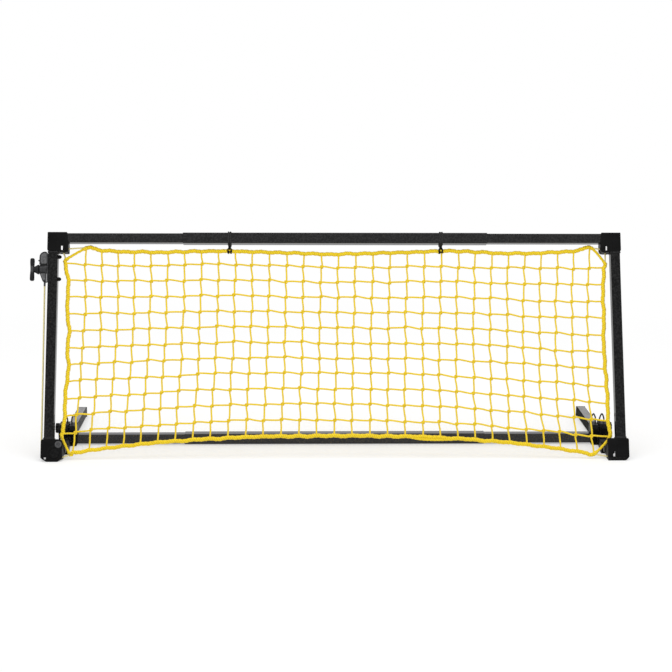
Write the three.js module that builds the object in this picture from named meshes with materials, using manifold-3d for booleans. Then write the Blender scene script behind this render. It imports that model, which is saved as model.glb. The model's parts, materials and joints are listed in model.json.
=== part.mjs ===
// Portable rebound net: a square-tube frame that leans back on a low ground base, with a knotted net
// hung inside it on a cord that one T-handle tensioner pulls tight. Millimetres, +Z up, +Y to the back.
import * as THREE from 'three';
import { mergeVertices } from 'three/addons/utils/BufferGeometryUtils.js';
import Module from 'manifold-3d';

const wasm = await Module();
wasm.setup();

// ---- driving dimensions --------------------------------------------------------------------------
const GAP = 0.3;                    // clearance between fitted pieces
const FRAME_WIDTH = 1524;           // over the posts
const FRAME_SLANT = 610;            // ground to the top of the frame, along its slope
const LEAN = THREE.MathUtils.degToRad(20.5);
const TUBE = 25.4;                  // square tube, outside
const TUBE_WALL = 1.5;
const SLEEVE_WALL = 1.4;
const SLEEVE_LENGTH = 812;
const OVERLAP = 120;                // length of a tube inside its sleeve
const SOCKET_WALL = 2.4;            // moulded wall round a tube end
const SOCKET_DEPTH = 25;

const BLOCK_HEIGHT = 59;            // lower corner block
const BLOCK_OUTER_LIP = 7;          // how far it stands out past the post
const LUG_REACH = 23.6;             // cord guide lug, inwards from the post's inner face
const CHAMFER = 5;
const BRACKET_HEIGHT = 58.5;

const AXIS_HEIGHT = 16;             // front hinge axis above the ground
const KNUCKLE_WIDTH = 12;
const KNUCKLE_INSET = 37;           // middle of the knuckle, in from the post's outer face
const EAR_WIDTH = 5.5;
const PIN_RADIUS = 4;
const HEAD_RADIUS = 7;
const HEAD_HEIGHT = 3;
const FOOT_LENGTH = 32;
const FOOT_CLEARANCE = 0.5;         // ground to a piece that only hovers over it

const SIDE_INSET = 40;              // side rails and legs, in from the post's outer face
const REAR_LINE = 120;              // rear bar, behind the front hinge
const JOINT_REACH = [26, 21];       // rear joint casting, inwards and outwards of the side rail's middle
const JOINT_FRONT = 92;
const JOINT_BACK = 142;
const JOINT_HEIGHT = 57;
const RAIL_SOCKET_DEPTH = 12;
const BAR_SOCKET_DEPTH = 20;
const LEG_PIVOT = 162;              // behind the front hinge
const LEG_LENGTH = 238;             // pivot to the end of the tube
const LEG_CAP_THICKNESS = 4;
const CLEVIS_TOP = 7;
const CLEVIS_TAIL = 13;

const KNOB_RADIUS = 14;
const KNOB_WIDTH = 10;
const KNOB_HEIGHT = 44;
const KNOB_LOBES = 8;
const SCALLOP_RADIUS = 4;           // grip hollows between the lobes
const SCALLOP_OFFSET = 2;           // their middles, outside the rim
const STUD_RADIUS = 3;
const STUD_LENGTH = 9;

const PEG_WIRE = 4;
const PEG_SPREAD = 12;
const PEG_OFFSETS = [-15, 8];       // middle of each peg, outwards of the side rail's middle
const PEG_ROW = 137.2;
const PEG_RISE = 22;                // hoop above the casting
const PEG_TIP_HEIGHT = 20;

const CORD = 4;
const GROOVE_RADIUS = 3.5;
const FLANGE_RADIUS = 7.5;
const FLANGE_WIDTH = 1.2;
const ROLLER_WIDTH = 7;
const TRUNNION_RADIUS = 2.5;
const TRUNNION_REACH = 9;
const CHEEK_GAP = 8;
const ROLLER_INSET = 17.8;          // roller's middle, in from the post's inner face
const TOP_ROLLER_DROP = 49.4;       // below the top of the frame
const LOW_ROLLER_RISE = 17;         // above the front edge of the block's sole
const SLOT_WIDTH = 4;
const SLOT_HEIGHT = 8;

const NET_COLUMNS = 27;
const NET_ROWS = 11;
const NET_THICKNESS = 4;
const STRAND = 5;
const HEM = 9;
const NET_TOP_DROP = 49;            // hem line at the top corners, below the top of the frame
const NET_BOTTOM_RISE = 26;         // hem line at the bottom corners, above the sole's front edge
const NET_INSET = 21.6;             // hem line at each side's ends, in from the post's inner face
const NET_WAIST = 12;               // how far the sides draw in
const NET_ARCH = 45;                // how far the bottom hem rises in the middle
const NET_SAG = 13;                 // how far the top hem sags between the straps
const NET_DIP = 6;                  // how far it sags from a strap to a corner
const TOP_CUT = [46, 35];           // cut corner, across and down
const BOTTOM_CUT = [28, 40];

const STRAP_INSET = 124;            // from the sleeve's end
const STRAP_WIDTH = 10.5;
const STRAP_THICKNESS = 1.2;
const NECK_WIDTH = 6.3;
const CLIP_WIDTH = 13.5;
const CLIP_HEIGHT = 19;
const CLIP_DEPTH = 12;
const CLIP_PRONG = 12;

const TENSIONER_DROP = 99;          // T-handle axis below the top of the frame
const TENSIONER_DEPTH = 28;
const TENSIONER_REACH = 20;         // housing, outwards from its plate
const TENSIONER_RISE = 46;          // housing top above the axis
const TENSIONER_BELLY = 13;         // below the axis, before the taper
const TENSIONER_TAIL = 34;          // tip of the taper below the axis
const TENSIONER_DOME = 14;          // radius of the rounded upper outer edge
const TENSIONER_WALL = 3;
const COLLAR_LENGTH = 2;
const PLATE_THICKNESS = 2.2;
const PLATE_WIDTH = 22;
const CORD_OFFSET = 7;              // middle of the outer run, outwards from the plate
const SPOOL_RADIUS = 6;
const SPOOL_FLANGE = 10;
const SPOOL_FLANGE_WIDTH = 2;
const STEM_LENGTH = 12;
const STEM_RADII = [9, 6];
const HANDLE_LENGTH = 59;
const HANDLE_THICKNESS = 12;
const BOLT_RADIUS = 3;
const BOLT_RISE = [34, -26];        // bolts above and below the axis
const NUT_RADIUS = 5.5;
const NUT_HEIGHT = 5;
const FERRULE_LENGTH = 11;
const FERRULE_RADIUS = 2.8;
const LEVER_LENGTH = 22;
const LEVER_WIDTH = 10;
const LEVER_THICKNESS = 3;
const LEVER_RISE = 26;              // lever's slot above the axis

const BUTTON_RADIUS = 4;
const BUTTON_RISE = 2.5;
const BUTTON_INSET = 40;            // from the sleeve's end
const BUTTON_SEAT = 3;              // thickness of the seat behind the inner wall
const BUTTON_LIP = 2;               // how far the seat reaches past the head

// ---- sizes worked out from them ------------------------------------------------------------------
const SLEEVE = TUBE + 2 * (GAP + SLEEVE_WALL);
const HALF_WIDTH = FRAME_WIDTH / 2;
const POST_LINE = HALF_WIDTH - TUBE / 2;
const POST_INNER = HALF_WIDTH - TUBE;
const KNUCKLE_LINE = HALF_WIDTH - KNUCKLE_INSET;
const SIDE_LINE = HALF_WIDTH - SIDE_INSET;
const JOINT_INNER = SIDE_LINE - JOINT_REACH[0];
const JOINT_OUTER = SIDE_LINE + JOINT_REACH[1];
const PEG_LINES = PEG_OFFSETS.map((offset) => SIDE_LINE + offset);
const ROLLER_LINE = POST_INNER - ROLLER_INSET;
const NET_HALF_WIDTH = POST_INNER - NET_INSET;
const STRAP_LINE = SLEEVE_LENGTH / 2 - STRAP_INSET;
const SHELL = TUBE + 2 * SOCKET_WALL;               // outside of a moulded socket
const PLANE = -(TUBE / 2 + GAP + SHELL / 2);        // the frame's middle plane, in front of the hinge
const BLOCK_FRONT = PLANE - SHELL / 2;
const BLOCK_BACK = PLANE + SHELL / 2;
const KNUCKLE_RADIUS = TUBE / 2 - GAP;
const soleAt = (y) => (FOOT_CLEARANCE - AXIS_HEIGHT + y * Math.sin(LEAN)) / Math.cos(LEAN);
const SOLE = soleAt(BLOCK_FRONT);                   // front edge of the sole, in the frame's own height
const TOP = SOLE + FRAME_SLANT;
const BLOCK_TOP = SOLE + BLOCK_HEIGHT;
const BAR_HEIGHT = TOP - SOCKET_WALL - TUBE / 2;
const BRACKET_FOOT = TOP - BRACKET_HEIGHT;
const LUG_INNER = POST_INNER - LUG_REACH;
const TOP_ROLLER = TOP - TOP_ROLLER_DROP;
const LOW_ROLLER = SOLE + LOW_ROLLER_RISE;
const WRAP_RADIUS = GROOVE_RADIUS + GAP + CORD / 2;
const TENSIONER_AXIS = TOP - TENSIONER_DROP;
const PLATE_FACE = HALF_WIDTH + PLATE_THICKNESS;
const CORD_LINE = PLATE_FACE + CORD_OFFSET;
const NET_TOP = TOP - NET_TOP_DROP;
const NET_BOTTOM = SOLE + NET_BOTTOM_RISE;

// ---- materials -----------------------------------------------------------------------------------
const material = (color, roughness, metalness) =>
  new THREE.MeshStandardMaterial({ color, roughness, metalness });
const STEEL = () => material(0x1b1b1d, 0.45, 0.3);
const MOULDED = () => material(0x141415, 0.6, 0);
const GREY = () => material(0x3d3e41, 0.55, 0);
const NET_YELLOW = () => material(0xf2cf12, 0.8, 0);
const CORD_YELLOW = () => material(0xe6dc8c, 0.8, 0);
const ZINC = () => material(0x2a2a2c, 0.4, 0.8);
const WEBBING = () => material(0x101011, 0.85, 0);

// ---- solids --------------------------------------------------------------------------------------
function solid(geometry) {
  const bare = geometry.clone();
  bare.deleteAttribute('normal');
  bare.deleteAttribute('uv');
  const merged = mergeVertices(bare, 1e-4);
  return new wasm.Manifold(new wasm.Mesh({
    numProp: 3,
    vertProperties: new Float32Array(merged.attributes.position.array),
    triVerts: new Uint32Array(merged.index.array),
  }));
}

function geometryOf(body) {
  const mesh = body.getMesh();
  const geometry = new THREE.BufferGeometry();
  geometry.setAttribute('position', new THREE.BufferAttribute(new Float32Array(mesh.vertProperties), 3));
  geometry.setIndex(new THREE.BufferAttribute(new Uint32Array(mesh.triVerts), 1));
  return geometry;
}

const cut = (body, ...tools) => tools.reduce((left, tool) => left.subtract(tool), body);
const join = (body, ...others) => others.reduce((left, other) => left.add(other), body);

// A box between two corners, given in any order.
function box(x, y, z) {
  const size = [x, y, z].map(([a, b]) => Math.abs(b - a));
  const middle = [x, y, z].map(([a, b]) => (a + b) / 2);
  return solid(new THREE.BoxGeometry(...size).translate(...middle));
}

const AXES = { x: [0, 0, -Math.PI / 2], y: [0, 0, 0], z: [Math.PI / 2, 0, 0] };

// A cylinder or cone along an axis, from one end to the other.
function rod(axis, [from, to], [a, b], radius, endRadius = radius, sides = 16) {
  const geometry = new THREE.CylinderGeometry(endRadius, radius, Math.abs(to - from), sides);
  const turn = new THREE.Euler(...AXES[axis]);
  geometry.applyMatrix4(new THREE.Matrix4().makeRotationFromEuler(turn));
  const middle = (from + to) / 2;
  const place = { x: [middle, a, b], y: [a, middle, b], z: [a, b, middle] }[axis];
  return solid(geometry.translate(...place));
}

// A polygon of [across, up] points, pushed from one depth to another along Y.
function slabAlongY(points, [near, far]) {
  const shape = new THREE.Shape(points.map(([a, b]) => new THREE.Vector2(a, b)));
  const geometry = new THREE.ExtrudeGeometry(shape, { depth: Math.abs(far - near), bevelEnabled: false });
  return solid(geometry.rotateX(Math.PI / 2).translate(0, Math.max(near, far), 0));
}

// A polygon of [back, up] points, pushed from one side to another along X.
function slabAlongX(points, [left, right]) {
  const shape = new THREE.Shape(points.map(([a, b]) => new THREE.Vector2(a, b)));
  const geometry = new THREE.ExtrudeGeometry(shape, { depth: Math.abs(right - left), bevelEnabled: false });
  geometry.applyMatrix4(new THREE.Matrix4().set(0, 0, 1, 0, 1, 0, 0, 0, 0, 1, 0, 0, 0, 0, 0, 1));
  return solid(geometry.translate(Math.min(left, right), 0, 0));
}

// A round cord or wire through points.
function cord(points, diameter, steps, sides = 8) {
  const turn = (i) => (2 * Math.PI * i) / sides;
  const section = new THREE.Shape(Array.from({ length: sides }, (_, i) =>
    new THREE.Vector2(Math.cos(turn(i)), Math.sin(turn(i))).multiplyScalar(diameter / 2)));
  const path = new THREE.CatmullRomCurve3(points, false, 'centripetal');
  return new THREE.ExtrudeGeometry(section, { steps, extrudePath: path, bevelEnabled: false });
}

function add(group, name, shape, makeMaterial) {
  const geometry = shape instanceof THREE.BufferGeometry ? shape : geometryOf(shape);
  const mesh = new THREE.Mesh(geometry, makeMaterial());
  mesh.name = name;
  group.add(mesh);
  return mesh;
}

// Left is -X. Every sided piece is drawn on the right and mirrored for the left.
const SIDES = [['left', -1], ['right', 1]];
const span = (side, a, b) => [side * a, side * b];
const mirrored = (side, points) => {
  const placed = points.map(([a, b]) => [side * a, b]);
  return side < 0 ? placed.reverse() : placed;
};

function squareTube(axis, [from, to], a, b, size, wall) {
  const half = size / 2;
  const place = (reach, ends) => ({
    x: [ends, [a - reach, a + reach], [b - reach, b + reach]],
    y: [[a - reach, a + reach], ends, [b - reach, b + reach]],
    z: [[a - reach, a + reach], [b - reach, b + reach], ends],
  })[axis];
  const outer = box(...place(half, [from, to]));
  return cut(outer, box(...place(half - wall, [from - 1, to + 1])));
}

// ---- telescoping bars ----------------------------------------------------------------------------
const TUBE_START = SLEEVE_LENGTH / 2 - OVERLAP;

function barSleeve(y, z) {
  const half = SLEEVE_LENGTH / 2;
  let sleeve = squareTube('x', [-half, half], y, z, SLEEVE, SLEEVE_WALL);
  for (const side of [-1, 1]) {
    const centre = side * (half - BUTTON_INSET);
    sleeve = cut(sleeve, rod('y', [y, y + SLEEVE], [centre, z], BUTTON_RADIUS + GAP));
  }
  return sleeve;
}

function barTube(side, end, y, z) {
  const ends = span(side, TUBE_START, end).sort((a, b) => a - b);
  const centre = side * (SLEEVE_LENGTH / 2 - BUTTON_INSET);
  const hole = rod('y', [y, y + TUBE], [centre, z], BUTTON_RADIUS + GAP);
  return cut(squareTube('x', ends, y, z, TUBE, TUBE_WALL), hole);
}

// A snap button: a round head through both walls and a wider seat behind the inner wall.
function snapButton(side, y, z) {
  const centre = side * (SLEEVE_LENGTH / 2 - BUTTON_INSET);
  const inside = y + TUBE / 2 - TUBE_WALL - GAP;
  const head = rod('y', [inside - 1, y + SLEEVE / 2 + BUTTON_RISE], [centre, z], BUTTON_RADIUS);
  return join(head, rod('y', [inside - BUTTON_SEAT, inside], [centre, z], BUTTON_RADIUS + BUTTON_LIP));
}

// ---- ground base ---------------------------------------------------------------------------------
function rearJoint(side) {
  const body = box(span(side, JOINT_INNER, JOINT_OUTER), [JOINT_FRONT, JOINT_BACK], [0, JOINT_HEIGHT]);
  const fit = TUBE / 2 + GAP;
  const tubeHeight = [AXIS_HEIGHT - fit, AXIS_HEIGHT + fit];
  const legTop = AXIS_HEIGHT + TUBE / 2 + GAP;
  const legSide = span(side, SIDE_LINE - TUBE / 2, SIDE_LINE + TUBE / 2);
  const tail = [JOINT_BACK - 1, LEG_PIVOT + CLEVIS_TAIL];
  const clevis = join(
    box(legSide, tail, [0, AXIS_HEIGHT - fit]),
    box(legSide, tail, [legTop, legTop + CLEVIS_TOP]),
  );
  const ridge = JOINT_HEIGHT - 2 * CHAMFER;
  const bevel = slabAlongX([[JOINT_FRONT - 1, ridge], [JOINT_FRONT + 2 * CHAMFER, JOINT_HEIGHT + 1],
    [JOINT_FRONT - 1, JOINT_HEIGHT + 1]], span(side, JOINT_INNER - 1, JOINT_OUTER + 1));
  const pegHoles = PEG_LINES.flatMap((line) => [-1, 1].map((half) =>
    rod('z', [1, JOINT_HEIGHT + 1], [side * (line + (half * PEG_SPREAD) / 2), PEG_ROW],
      PEG_WIRE / 2 + GAP, PEG_WIRE / 2 + GAP, 12)));
  return cut(join(body, clevis), bevel,
    box(span(side, SIDE_LINE - fit, SIDE_LINE + fit), [JOINT_FRONT - 1, JOINT_FRONT + RAIL_SOCKET_DEPTH],
      tubeHeight),
    box(span(side, JOINT_INNER - 1, JOINT_INNER + BAR_SOCKET_DEPTH), [REAR_LINE - fit, REAR_LINE + fit],
      tubeHeight),
    rod('z', [-1, JOINT_HEIGHT], [side * SIDE_LINE, LEG_PIVOT], PIN_RADIUS + GAP),
    rod('x', span(side, JOINT_OUTER - STUD_LENGTH - 1, JOINT_OUTER + 1), [REAR_LINE, KNOB_HEIGHT],
      STUD_RADIUS + GAP),
    ...pegHoles);
}

const RAIL_START = TUBE / 2 + 2;
const footEnd = RAIL_START + FOOT_LENGTH;
const knuckleSpan = (side, spare = 0) =>
  span(side, KNUCKLE_LINE - KNUCKLE_WIDTH / 2 - spare, KNUCKLE_LINE + KNUCKLE_WIDTH / 2 + spare);

// The fixed half of the front hinge: a knuckle, and a socket that takes the side rail.
function frontFoot(side) {
  const half = SHELL / 2;
  const shell = box(span(side, SIDE_LINE - half, SIDE_LINE + half), [RAIL_START - GAP, footEnd],
    [0, AXIS_HEIGHT + half]);
  const knuckle = join(
    rod('x', knuckleSpan(side), [0, AXIS_HEIGHT], KNUCKLE_RADIUS),
    box(knuckleSpan(side), [0, RAIL_START + SOCKET_WALL], [AXIS_HEIGHT - KNUCKLE_RADIUS / 2,
      AXIS_HEIGHT + KNUCKLE_RADIUS / 2]),
  );
  const fit = TUBE / 2 + GAP;
  return cut(join(shell, knuckle),
    box(span(side, SIDE_LINE - fit, SIDE_LINE + fit), [RAIL_START + SOCKET_WALL, footEnd + 1],
      [AXIS_HEIGHT - fit, AXIS_HEIGHT + fit]),
    rod('x', knuckleSpan(side, 1), [0, AXIS_HEIGHT], PIN_RADIUS + GAP));
}

function hingePin(side) {
  const inner = KNUCKLE_LINE - KNUCKLE_WIDTH / 2 - GAP - EAR_WIDTH;
  const outer = KNUCKLE_LINE + KNUCKLE_WIDTH / 2 + GAP + EAR_WIDTH;
  const shank = rod('x', span(side, inner - GAP - 1, outer - 1), [0, AXIS_HEIGHT], PIN_RADIUS);
  const head = rod('x', span(side, inner - GAP - HEAD_HEIGHT, inner - GAP), [0, AXIS_HEIGHT], HEAD_RADIUS);
  return join(shank, head);
}

function leg(side) {
  const tube = squareTube('y', [LEG_PIVOT - TUBE / 2, LEG_PIVOT + LEG_LENGTH], side * SIDE_LINE,
    AXIS_HEIGHT, TUBE, TUBE_WALL);
  return cut(tube, rod('z', [0, JOINT_HEIGHT], [side * SIDE_LINE, LEG_PIVOT], PIN_RADIUS + GAP));
}

// A plug in the leg's far end, whose rim reaches down to the ground.
function legEndCap(side) {
  const end = LEG_PIVOT + LEG_LENGTH;
  const half = TUBE / 2;
  const plug = half - TUBE_WALL - GAP;
  const line = side * SIDE_LINE;
  const rim = box([line - half, line + half], [end, end + LEG_CAP_THICKNESS], [0, AXIS_HEIGHT + half]);
  return join(rim, box([line - plug, line + plug], [end - SOCKET_DEPTH / 2, end + 1],
    [AXIS_HEIGHT - plug, AXIS_HEIGHT + plug]));
}

function legBolt(side) {
  const head = AXIS_HEIGHT + TUBE / 2 + GAP + CLEVIS_TOP + GAP;
  const place = [side * SIDE_LINE, LEG_PIVOT];
  const shank = rod('z', [FOOT_CLEARANCE, head + 1], place, PIN_RADIUS);
  return join(shank, rod('z', [head, head + HEAD_HEIGHT], place, HEAD_RADIUS, HEAD_RADIUS, 6));
}

function clampKnob(side) {
  const face = JOINT_OUTER + GAP;
  const wheel = rod('x', span(side, face, face + KNOB_WIDTH), [REAR_LINE, KNOB_HEIGHT], KNOB_RADIUS,
    KNOB_RADIUS, 24);
  const scallops = Array.from({ length: KNOB_LOBES }, (_, i) => {
    const turn = (2 * Math.PI * i) / KNOB_LOBES;
    const reach = KNOB_RADIUS + SCALLOP_OFFSET;
    return rod('x', span(side, face - 1, face + KNOB_WIDTH + 1),
      [REAR_LINE + reach * Math.cos(turn), KNOB_HEIGHT + reach * Math.sin(turn)], SCALLOP_RADIUS,
      SCALLOP_RADIUS, 8);
  });
  const stud = rod('x', span(side, JOINT_OUTER - STUD_LENGTH, face + 2), [REAR_LINE, KNOB_HEIGHT],
    STUD_RADIUS);
  return join(cut(wheel, ...scallops), stud);
}

// A wire ground peg bent to a hoop, with both its legs in the casting.
function groundPeg(side, line) {
  const half = PEG_SPREAD / 2;
  const crown = JOINT_HEIGHT + PEG_RISE - PEG_WIRE / 2;
  const point = (across, up) => new THREE.Vector3(side * line + across, PEG_ROW, up);
  const bend = Array.from({ length: 7 }, (_, i) => {
    const turn = (Math.PI * i) / 6;
    return point(-half * Math.cos(turn), crown - half + half * Math.sin(turn));
  });
  const legs = [PEG_TIP_HEIGHT, JOINT_HEIGHT / 2, crown - 2 * half];
  return cord([...legs.map((up) => point(-half, up)), ...bend,
    ...legs.slice().reverse().map((up) => point(half, up))], PEG_WIRE, 24, 8);
}

// ---- front frame, drawn upright about the hinge axis ---------------------------------------------
const lugGap = [PLANE - CHEEK_GAP / 2, PLANE + CHEEK_GAP / 2];

function cornerBlock(side) {
  const outer = HALF_WIDTH + BLOCK_OUTER_LIP;
  const front = mirrored(side, [
    [LUG_INNER, SOLE - SHELL], [outer, SOLE - SHELL], [outer, BLOCK_TOP - CHAMFER],
    [outer - CHAMFER, BLOCK_TOP], [LUG_INNER + 2 * CHAMFER, BLOCK_TOP], [LUG_INNER, BLOCK_TOP - 2 * CHAMFER],
  ]);
  const profile = [
    [BLOCK_FRONT, soleAt(BLOCK_FRONT)], [BLOCK_BACK, soleAt(BLOCK_BACK)], [BLOCK_BACK, BLOCK_TOP],
    [BLOCK_FRONT, BLOCK_TOP],
  ];
  const depth = [BLOCK_FRONT - 1, BLOCK_BACK + 1];
  const toe = slabAlongY(mirrored(side, [[outer - 2 * CHAMFER, SOLE - 1], [outer + 1, SOLE - 1],
    [outer + 1, SOLE + 2 * CHAMFER]]), depth);
  const body = slabAlongX(profile, span(side, LUG_INNER, outer)).intersect(slabAlongY(front, depth));
  const inner = KNUCKLE_LINE - KNUCKLE_WIDTH / 2 - GAP;
  const far = KNUCKLE_LINE + KNUCKLE_WIDTH / 2 + GAP;
  const ears = [[inner - EAR_WIDTH, inner], [far, far + EAR_WIDTH]].flatMap(([a, b]) => [
    rod('x', span(side, a, b), [0, 0], KNUCKLE_RADIUS),
    box(span(side, a, b), [BLOCK_BACK - 1, 0], [-KNUCKLE_RADIUS, KNUCKLE_RADIUS]),
  ]);
  const fit = TUBE / 2 + GAP;
  let block = cut(join(body, ...ears), toe,
    rod('x', span(side, LUG_INNER - 1, far + EAR_WIDTH + 1), [0, 0], PIN_RADIUS + GAP),
    box(span(side, POST_LINE - fit, POST_LINE + fit), [PLANE - fit, PLANE + fit],
      [BLOCK_TOP - SOCKET_DEPTH, BLOCK_TOP + 1]),
    box(span(side, LUG_INNER - 1, LUG_INNER + LUG_REACH - SOCKET_WALL), lugGap,
      [LOW_ROLLER - FLANGE_RADIUS - 2, BLOCK_TOP + 1]),
    rod('y', [PLANE - TRUNNION_REACH - GAP, PLANE + TRUNNION_REACH + GAP], [side * ROLLER_LINE, LOW_ROLLER],
      TRUNNION_RADIUS + GAP),
    box(span(side, ROLLER_LINE + FLANGE_RADIUS, ROLLER_LINE + FLANGE_RADIUS + SLOT_WIDTH), depth,
      [LOW_ROLLER - SLOT_HEIGHT / 2, LOW_ROLLER + SLOT_HEIGHT / 2]));
  if (side < 0) {
    const groove = box(span(side, CORD_LINE - CORD, outer + 1),
      [PLANE - CORD / 2 - GAP, PLANE + CORD / 2 + GAP], [BLOCK_TOP - SOCKET_DEPTH, BLOCK_TOP + 1]);
    block = cut(block, groove);
  }
  return block;
}

function post(side) {
  const bottom = BLOCK_TOP - SOCKET_DEPTH + GAP;
  const top = BRACKET_FOOT + SOCKET_DEPTH;
  let tube = squareTube('z', [bottom, top], side * POST_LINE, PLANE, TUBE, TUBE_WALL);
  if (side < 0) {
    for (const rise of BOLT_RISE) {
      const hole = rod('x', span(side, POST_INNER - 1, HALF_WIDTH + 1), [PLANE, TENSIONER_AXIS + rise],
        BOLT_RADIUS + GAP);
      tube = cut(tube, hole);
    }
  }
  return tube;
}

function topBracket(side) {
  const outer = HALF_WIDTH + SOCKET_WALL;
  const outline = mirrored(side, [
    [LUG_INNER + CHAMFER, BRACKET_FOOT], [outer - CHAMFER / 2, BRACKET_FOOT],
    [outer, BRACKET_FOOT + CHAMFER], [outer, TOP - 1], [outer - 1, TOP],
    [LUG_INNER + 1, TOP], [LUG_INNER, TOP - 1], [LUG_INNER, BRACKET_FOOT + CHAMFER],
  ]);
  const fit = TUBE / 2 + GAP;
  const depth = [PLANE - SHELL / 2, PLANE + SHELL / 2];
  const slotLine = ROLLER_LINE + FLANGE_RADIUS;
  return cut(slabAlongY(outline, depth),
    box(span(side, LUG_INNER - 1, LUG_INNER + SOCKET_DEPTH), [PLANE - fit, PLANE + fit],
      [BAR_HEIGHT - fit, BAR_HEIGHT + fit]),
    box(span(side, POST_LINE - fit, POST_LINE + fit), [PLANE - fit, PLANE + fit],
      [BRACKET_FOOT - 1, BRACKET_FOOT + SOCKET_DEPTH + GAP]),
    box(span(side, LUG_INNER - 1, LUG_INNER + LUG_REACH - SOCKET_WALL), lugGap,
      [BRACKET_FOOT - 1, TOP_ROLLER + FLANGE_RADIUS + 2]),
    rod('y', [PLANE - TRUNNION_REACH - GAP, PLANE + TRUNNION_REACH + GAP], [side * ROLLER_LINE, TOP_ROLLER],
      TRUNNION_RADIUS + GAP),
    box(span(side, slotLine, slotLine + SLOT_WIDTH), [depth[0] - 1, depth[1] + 1],
      [TOP_ROLLER - SLOT_HEIGHT / 2, TOP_ROLLER + SLOT_HEIGHT / 2]));
}

// A grooved roller with a trunnion on each side, turned about Y.
function cordRoller(side, height) {
  const half = ROLLER_WIDTH / 2;
  const floor = half - FLANGE_WIDTH;
  const profile = [[0, -TRUNNION_REACH], [TRUNNION_RADIUS, -TRUNNION_REACH], [TRUNNION_RADIUS, -half],
    [FLANGE_RADIUS, -half], [FLANGE_RADIUS, -floor], [GROOVE_RADIUS, -floor], [GROOVE_RADIUS, floor],
    [FLANGE_RADIUS, floor], [FLANGE_RADIUS, half], [TRUNNION_RADIUS, half],
    [TRUNNION_RADIUS, TRUNNION_REACH], [0, TRUNNION_REACH]];
  const points = profile.map(([radius, along]) => new THREE.Vector2(radius, along));
  return new THREE.LatheGeometry(points, 16).translate(side * ROLLER_LINE, PLANE, height);
}

// ---- net -----------------------------------------------------------------------------------------
// Height of the top hem line: it hangs from the two straps and the corners.
function topHem(x) {
  const reach = Math.abs(x);
  if (reach < STRAP_LINE) return NET_TOP - NET_SAG * (1 - (reach / STRAP_LINE) ** 2);
  const share = (reach - STRAP_LINE) / (NET_HALF_WIDTH - TOP_CUT[0] - STRAP_LINE);
  return NET_TOP - NET_DIP * Math.sin(Math.PI * Math.min(share, 1)) ** 2;
}

function bottomHem(x) {
  const share = Math.min(Math.abs(x) / (NET_HALF_WIDTH - BOTTOM_CUT[0]), 1);
  return NET_BOTTOM + NET_ARCH * (1 - share ** 2);
}

function sideHem(z) {
  const share = (2 * (z - NET_BOTTOM)) / (NET_TOP - NET_BOTTOM) - 1;
  return NET_HALF_WIDTH - NET_WAIST * Math.max(0, 1 - share ** 2);
}

// The crossing of a column and a row, counted from the lower left.
function crossing(column, row) {
  const rise = row / NET_ROWS;
  const level = NET_BOTTOM + (NET_TOP - NET_BOTTOM) * rise;
  const x = ((2 * column) / NET_COLUMNS - 1) * sideHem(level);
  return [x, bottomHem(x) + (topHem(x) - bottomHem(x)) * rise];
}

// The two ends of a cut corner, the one on the top or bottom hem first.
function cutCorner(side, upper) {
  const [across, down] = upper ? TOP_CUT : BOTTOM_CUT;
  const level = upper ? NET_TOP : NET_BOTTOM;
  const turn = upper ? -1 : 1;
  return [[side * (NET_HALF_WIDTH - across), level], [side * NET_HALF_WIDTH, level + turn * down]];
}

// Moves each edge of a counterclockwise outline inwards by its own amount.
function inset(points, amounts) {
  const lines = points.map(([x, y], i) => {
    const [nextX, nextY] = points[(i + 1) % points.length];
    const length = Math.hypot(nextX - x, nextY - y);
    const normal = [-(nextY - y) / length, (nextX - x) / length];
    return { normal, offset: normal[0] * x + normal[1] * y + amounts[i] };
  });
  return lines.map((line, i) => {
    const before = lines[(i + lines.length - 1) % lines.length];
    const spread = before.normal[0] * line.normal[1] - before.normal[1] * line.normal[0];
    if (Math.abs(spread) < 1e-3) {
      const [x, y] = points[i];
      return [x + line.normal[0] * amounts[i], y + line.normal[1] * amounts[i]];
    }
    return [
      (before.offset * line.normal[1] - line.offset * before.normal[1]) / spread,
      (before.normal[0] * line.offset - line.normal[0] * before.offset) / spread,
    ];
  });
}

// One mesh of the net, with its corner cut where it is a corner of the net.
function netCell(column, row) {
  const lastColumn = column === NET_COLUMNS - 1;
  const lastRow = row === NET_ROWS - 1;
  const corners = [[column, row], [column + 1, row], [column + 1, row + 1], [column, row + 1]];
  const hem = [row === 0, lastColumn, lastRow, column === 0];
  const points = [];
  const amounts = [];
  corners.forEach(([c, r], i) => {
    const isCorner = (c === 0 || c === NET_COLUMNS) && (r === 0 || r === NET_ROWS);
    if (!isCorner) {
      points.push(crossing(c, r));
      amounts.push(hem[i] ? HEM / 2 : STRAND / 2);
      return;
    }
    const ends = cutCorner(c === 0 ? -1 : 1, r !== 0);
    const comesAlongRow = (c === 0) === (r !== 0);
    points.push(...(comesAlongRow ? ends : ends.slice().reverse()));
    amounts.push(HEM / 2, HEM / 2);
  });
  return inset(points, amounts);
}

function netOutline() {
  const points = [];
  for (let c = 1; c < NET_COLUMNS; c += 1) points.push(crossing(c, 0));
  points.push(...cutCorner(1, false));
  for (let r = 1; r < NET_ROWS; r += 1) points.push(crossing(NET_COLUMNS, r));
  points.push(...cutCorner(1, true).reverse());
  for (let c = NET_COLUMNS - 1; c > 0; c -= 1) points.push(crossing(c, NET_ROWS));
  points.push(...cutCorner(-1, true));
  for (let r = NET_ROWS - 1; r > 0; r -= 1) points.push(crossing(0, r));
  points.push(...cutCorner(-1, false).reverse());
  return inset(points, points.map(() => -HEM / 2));
}

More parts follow.
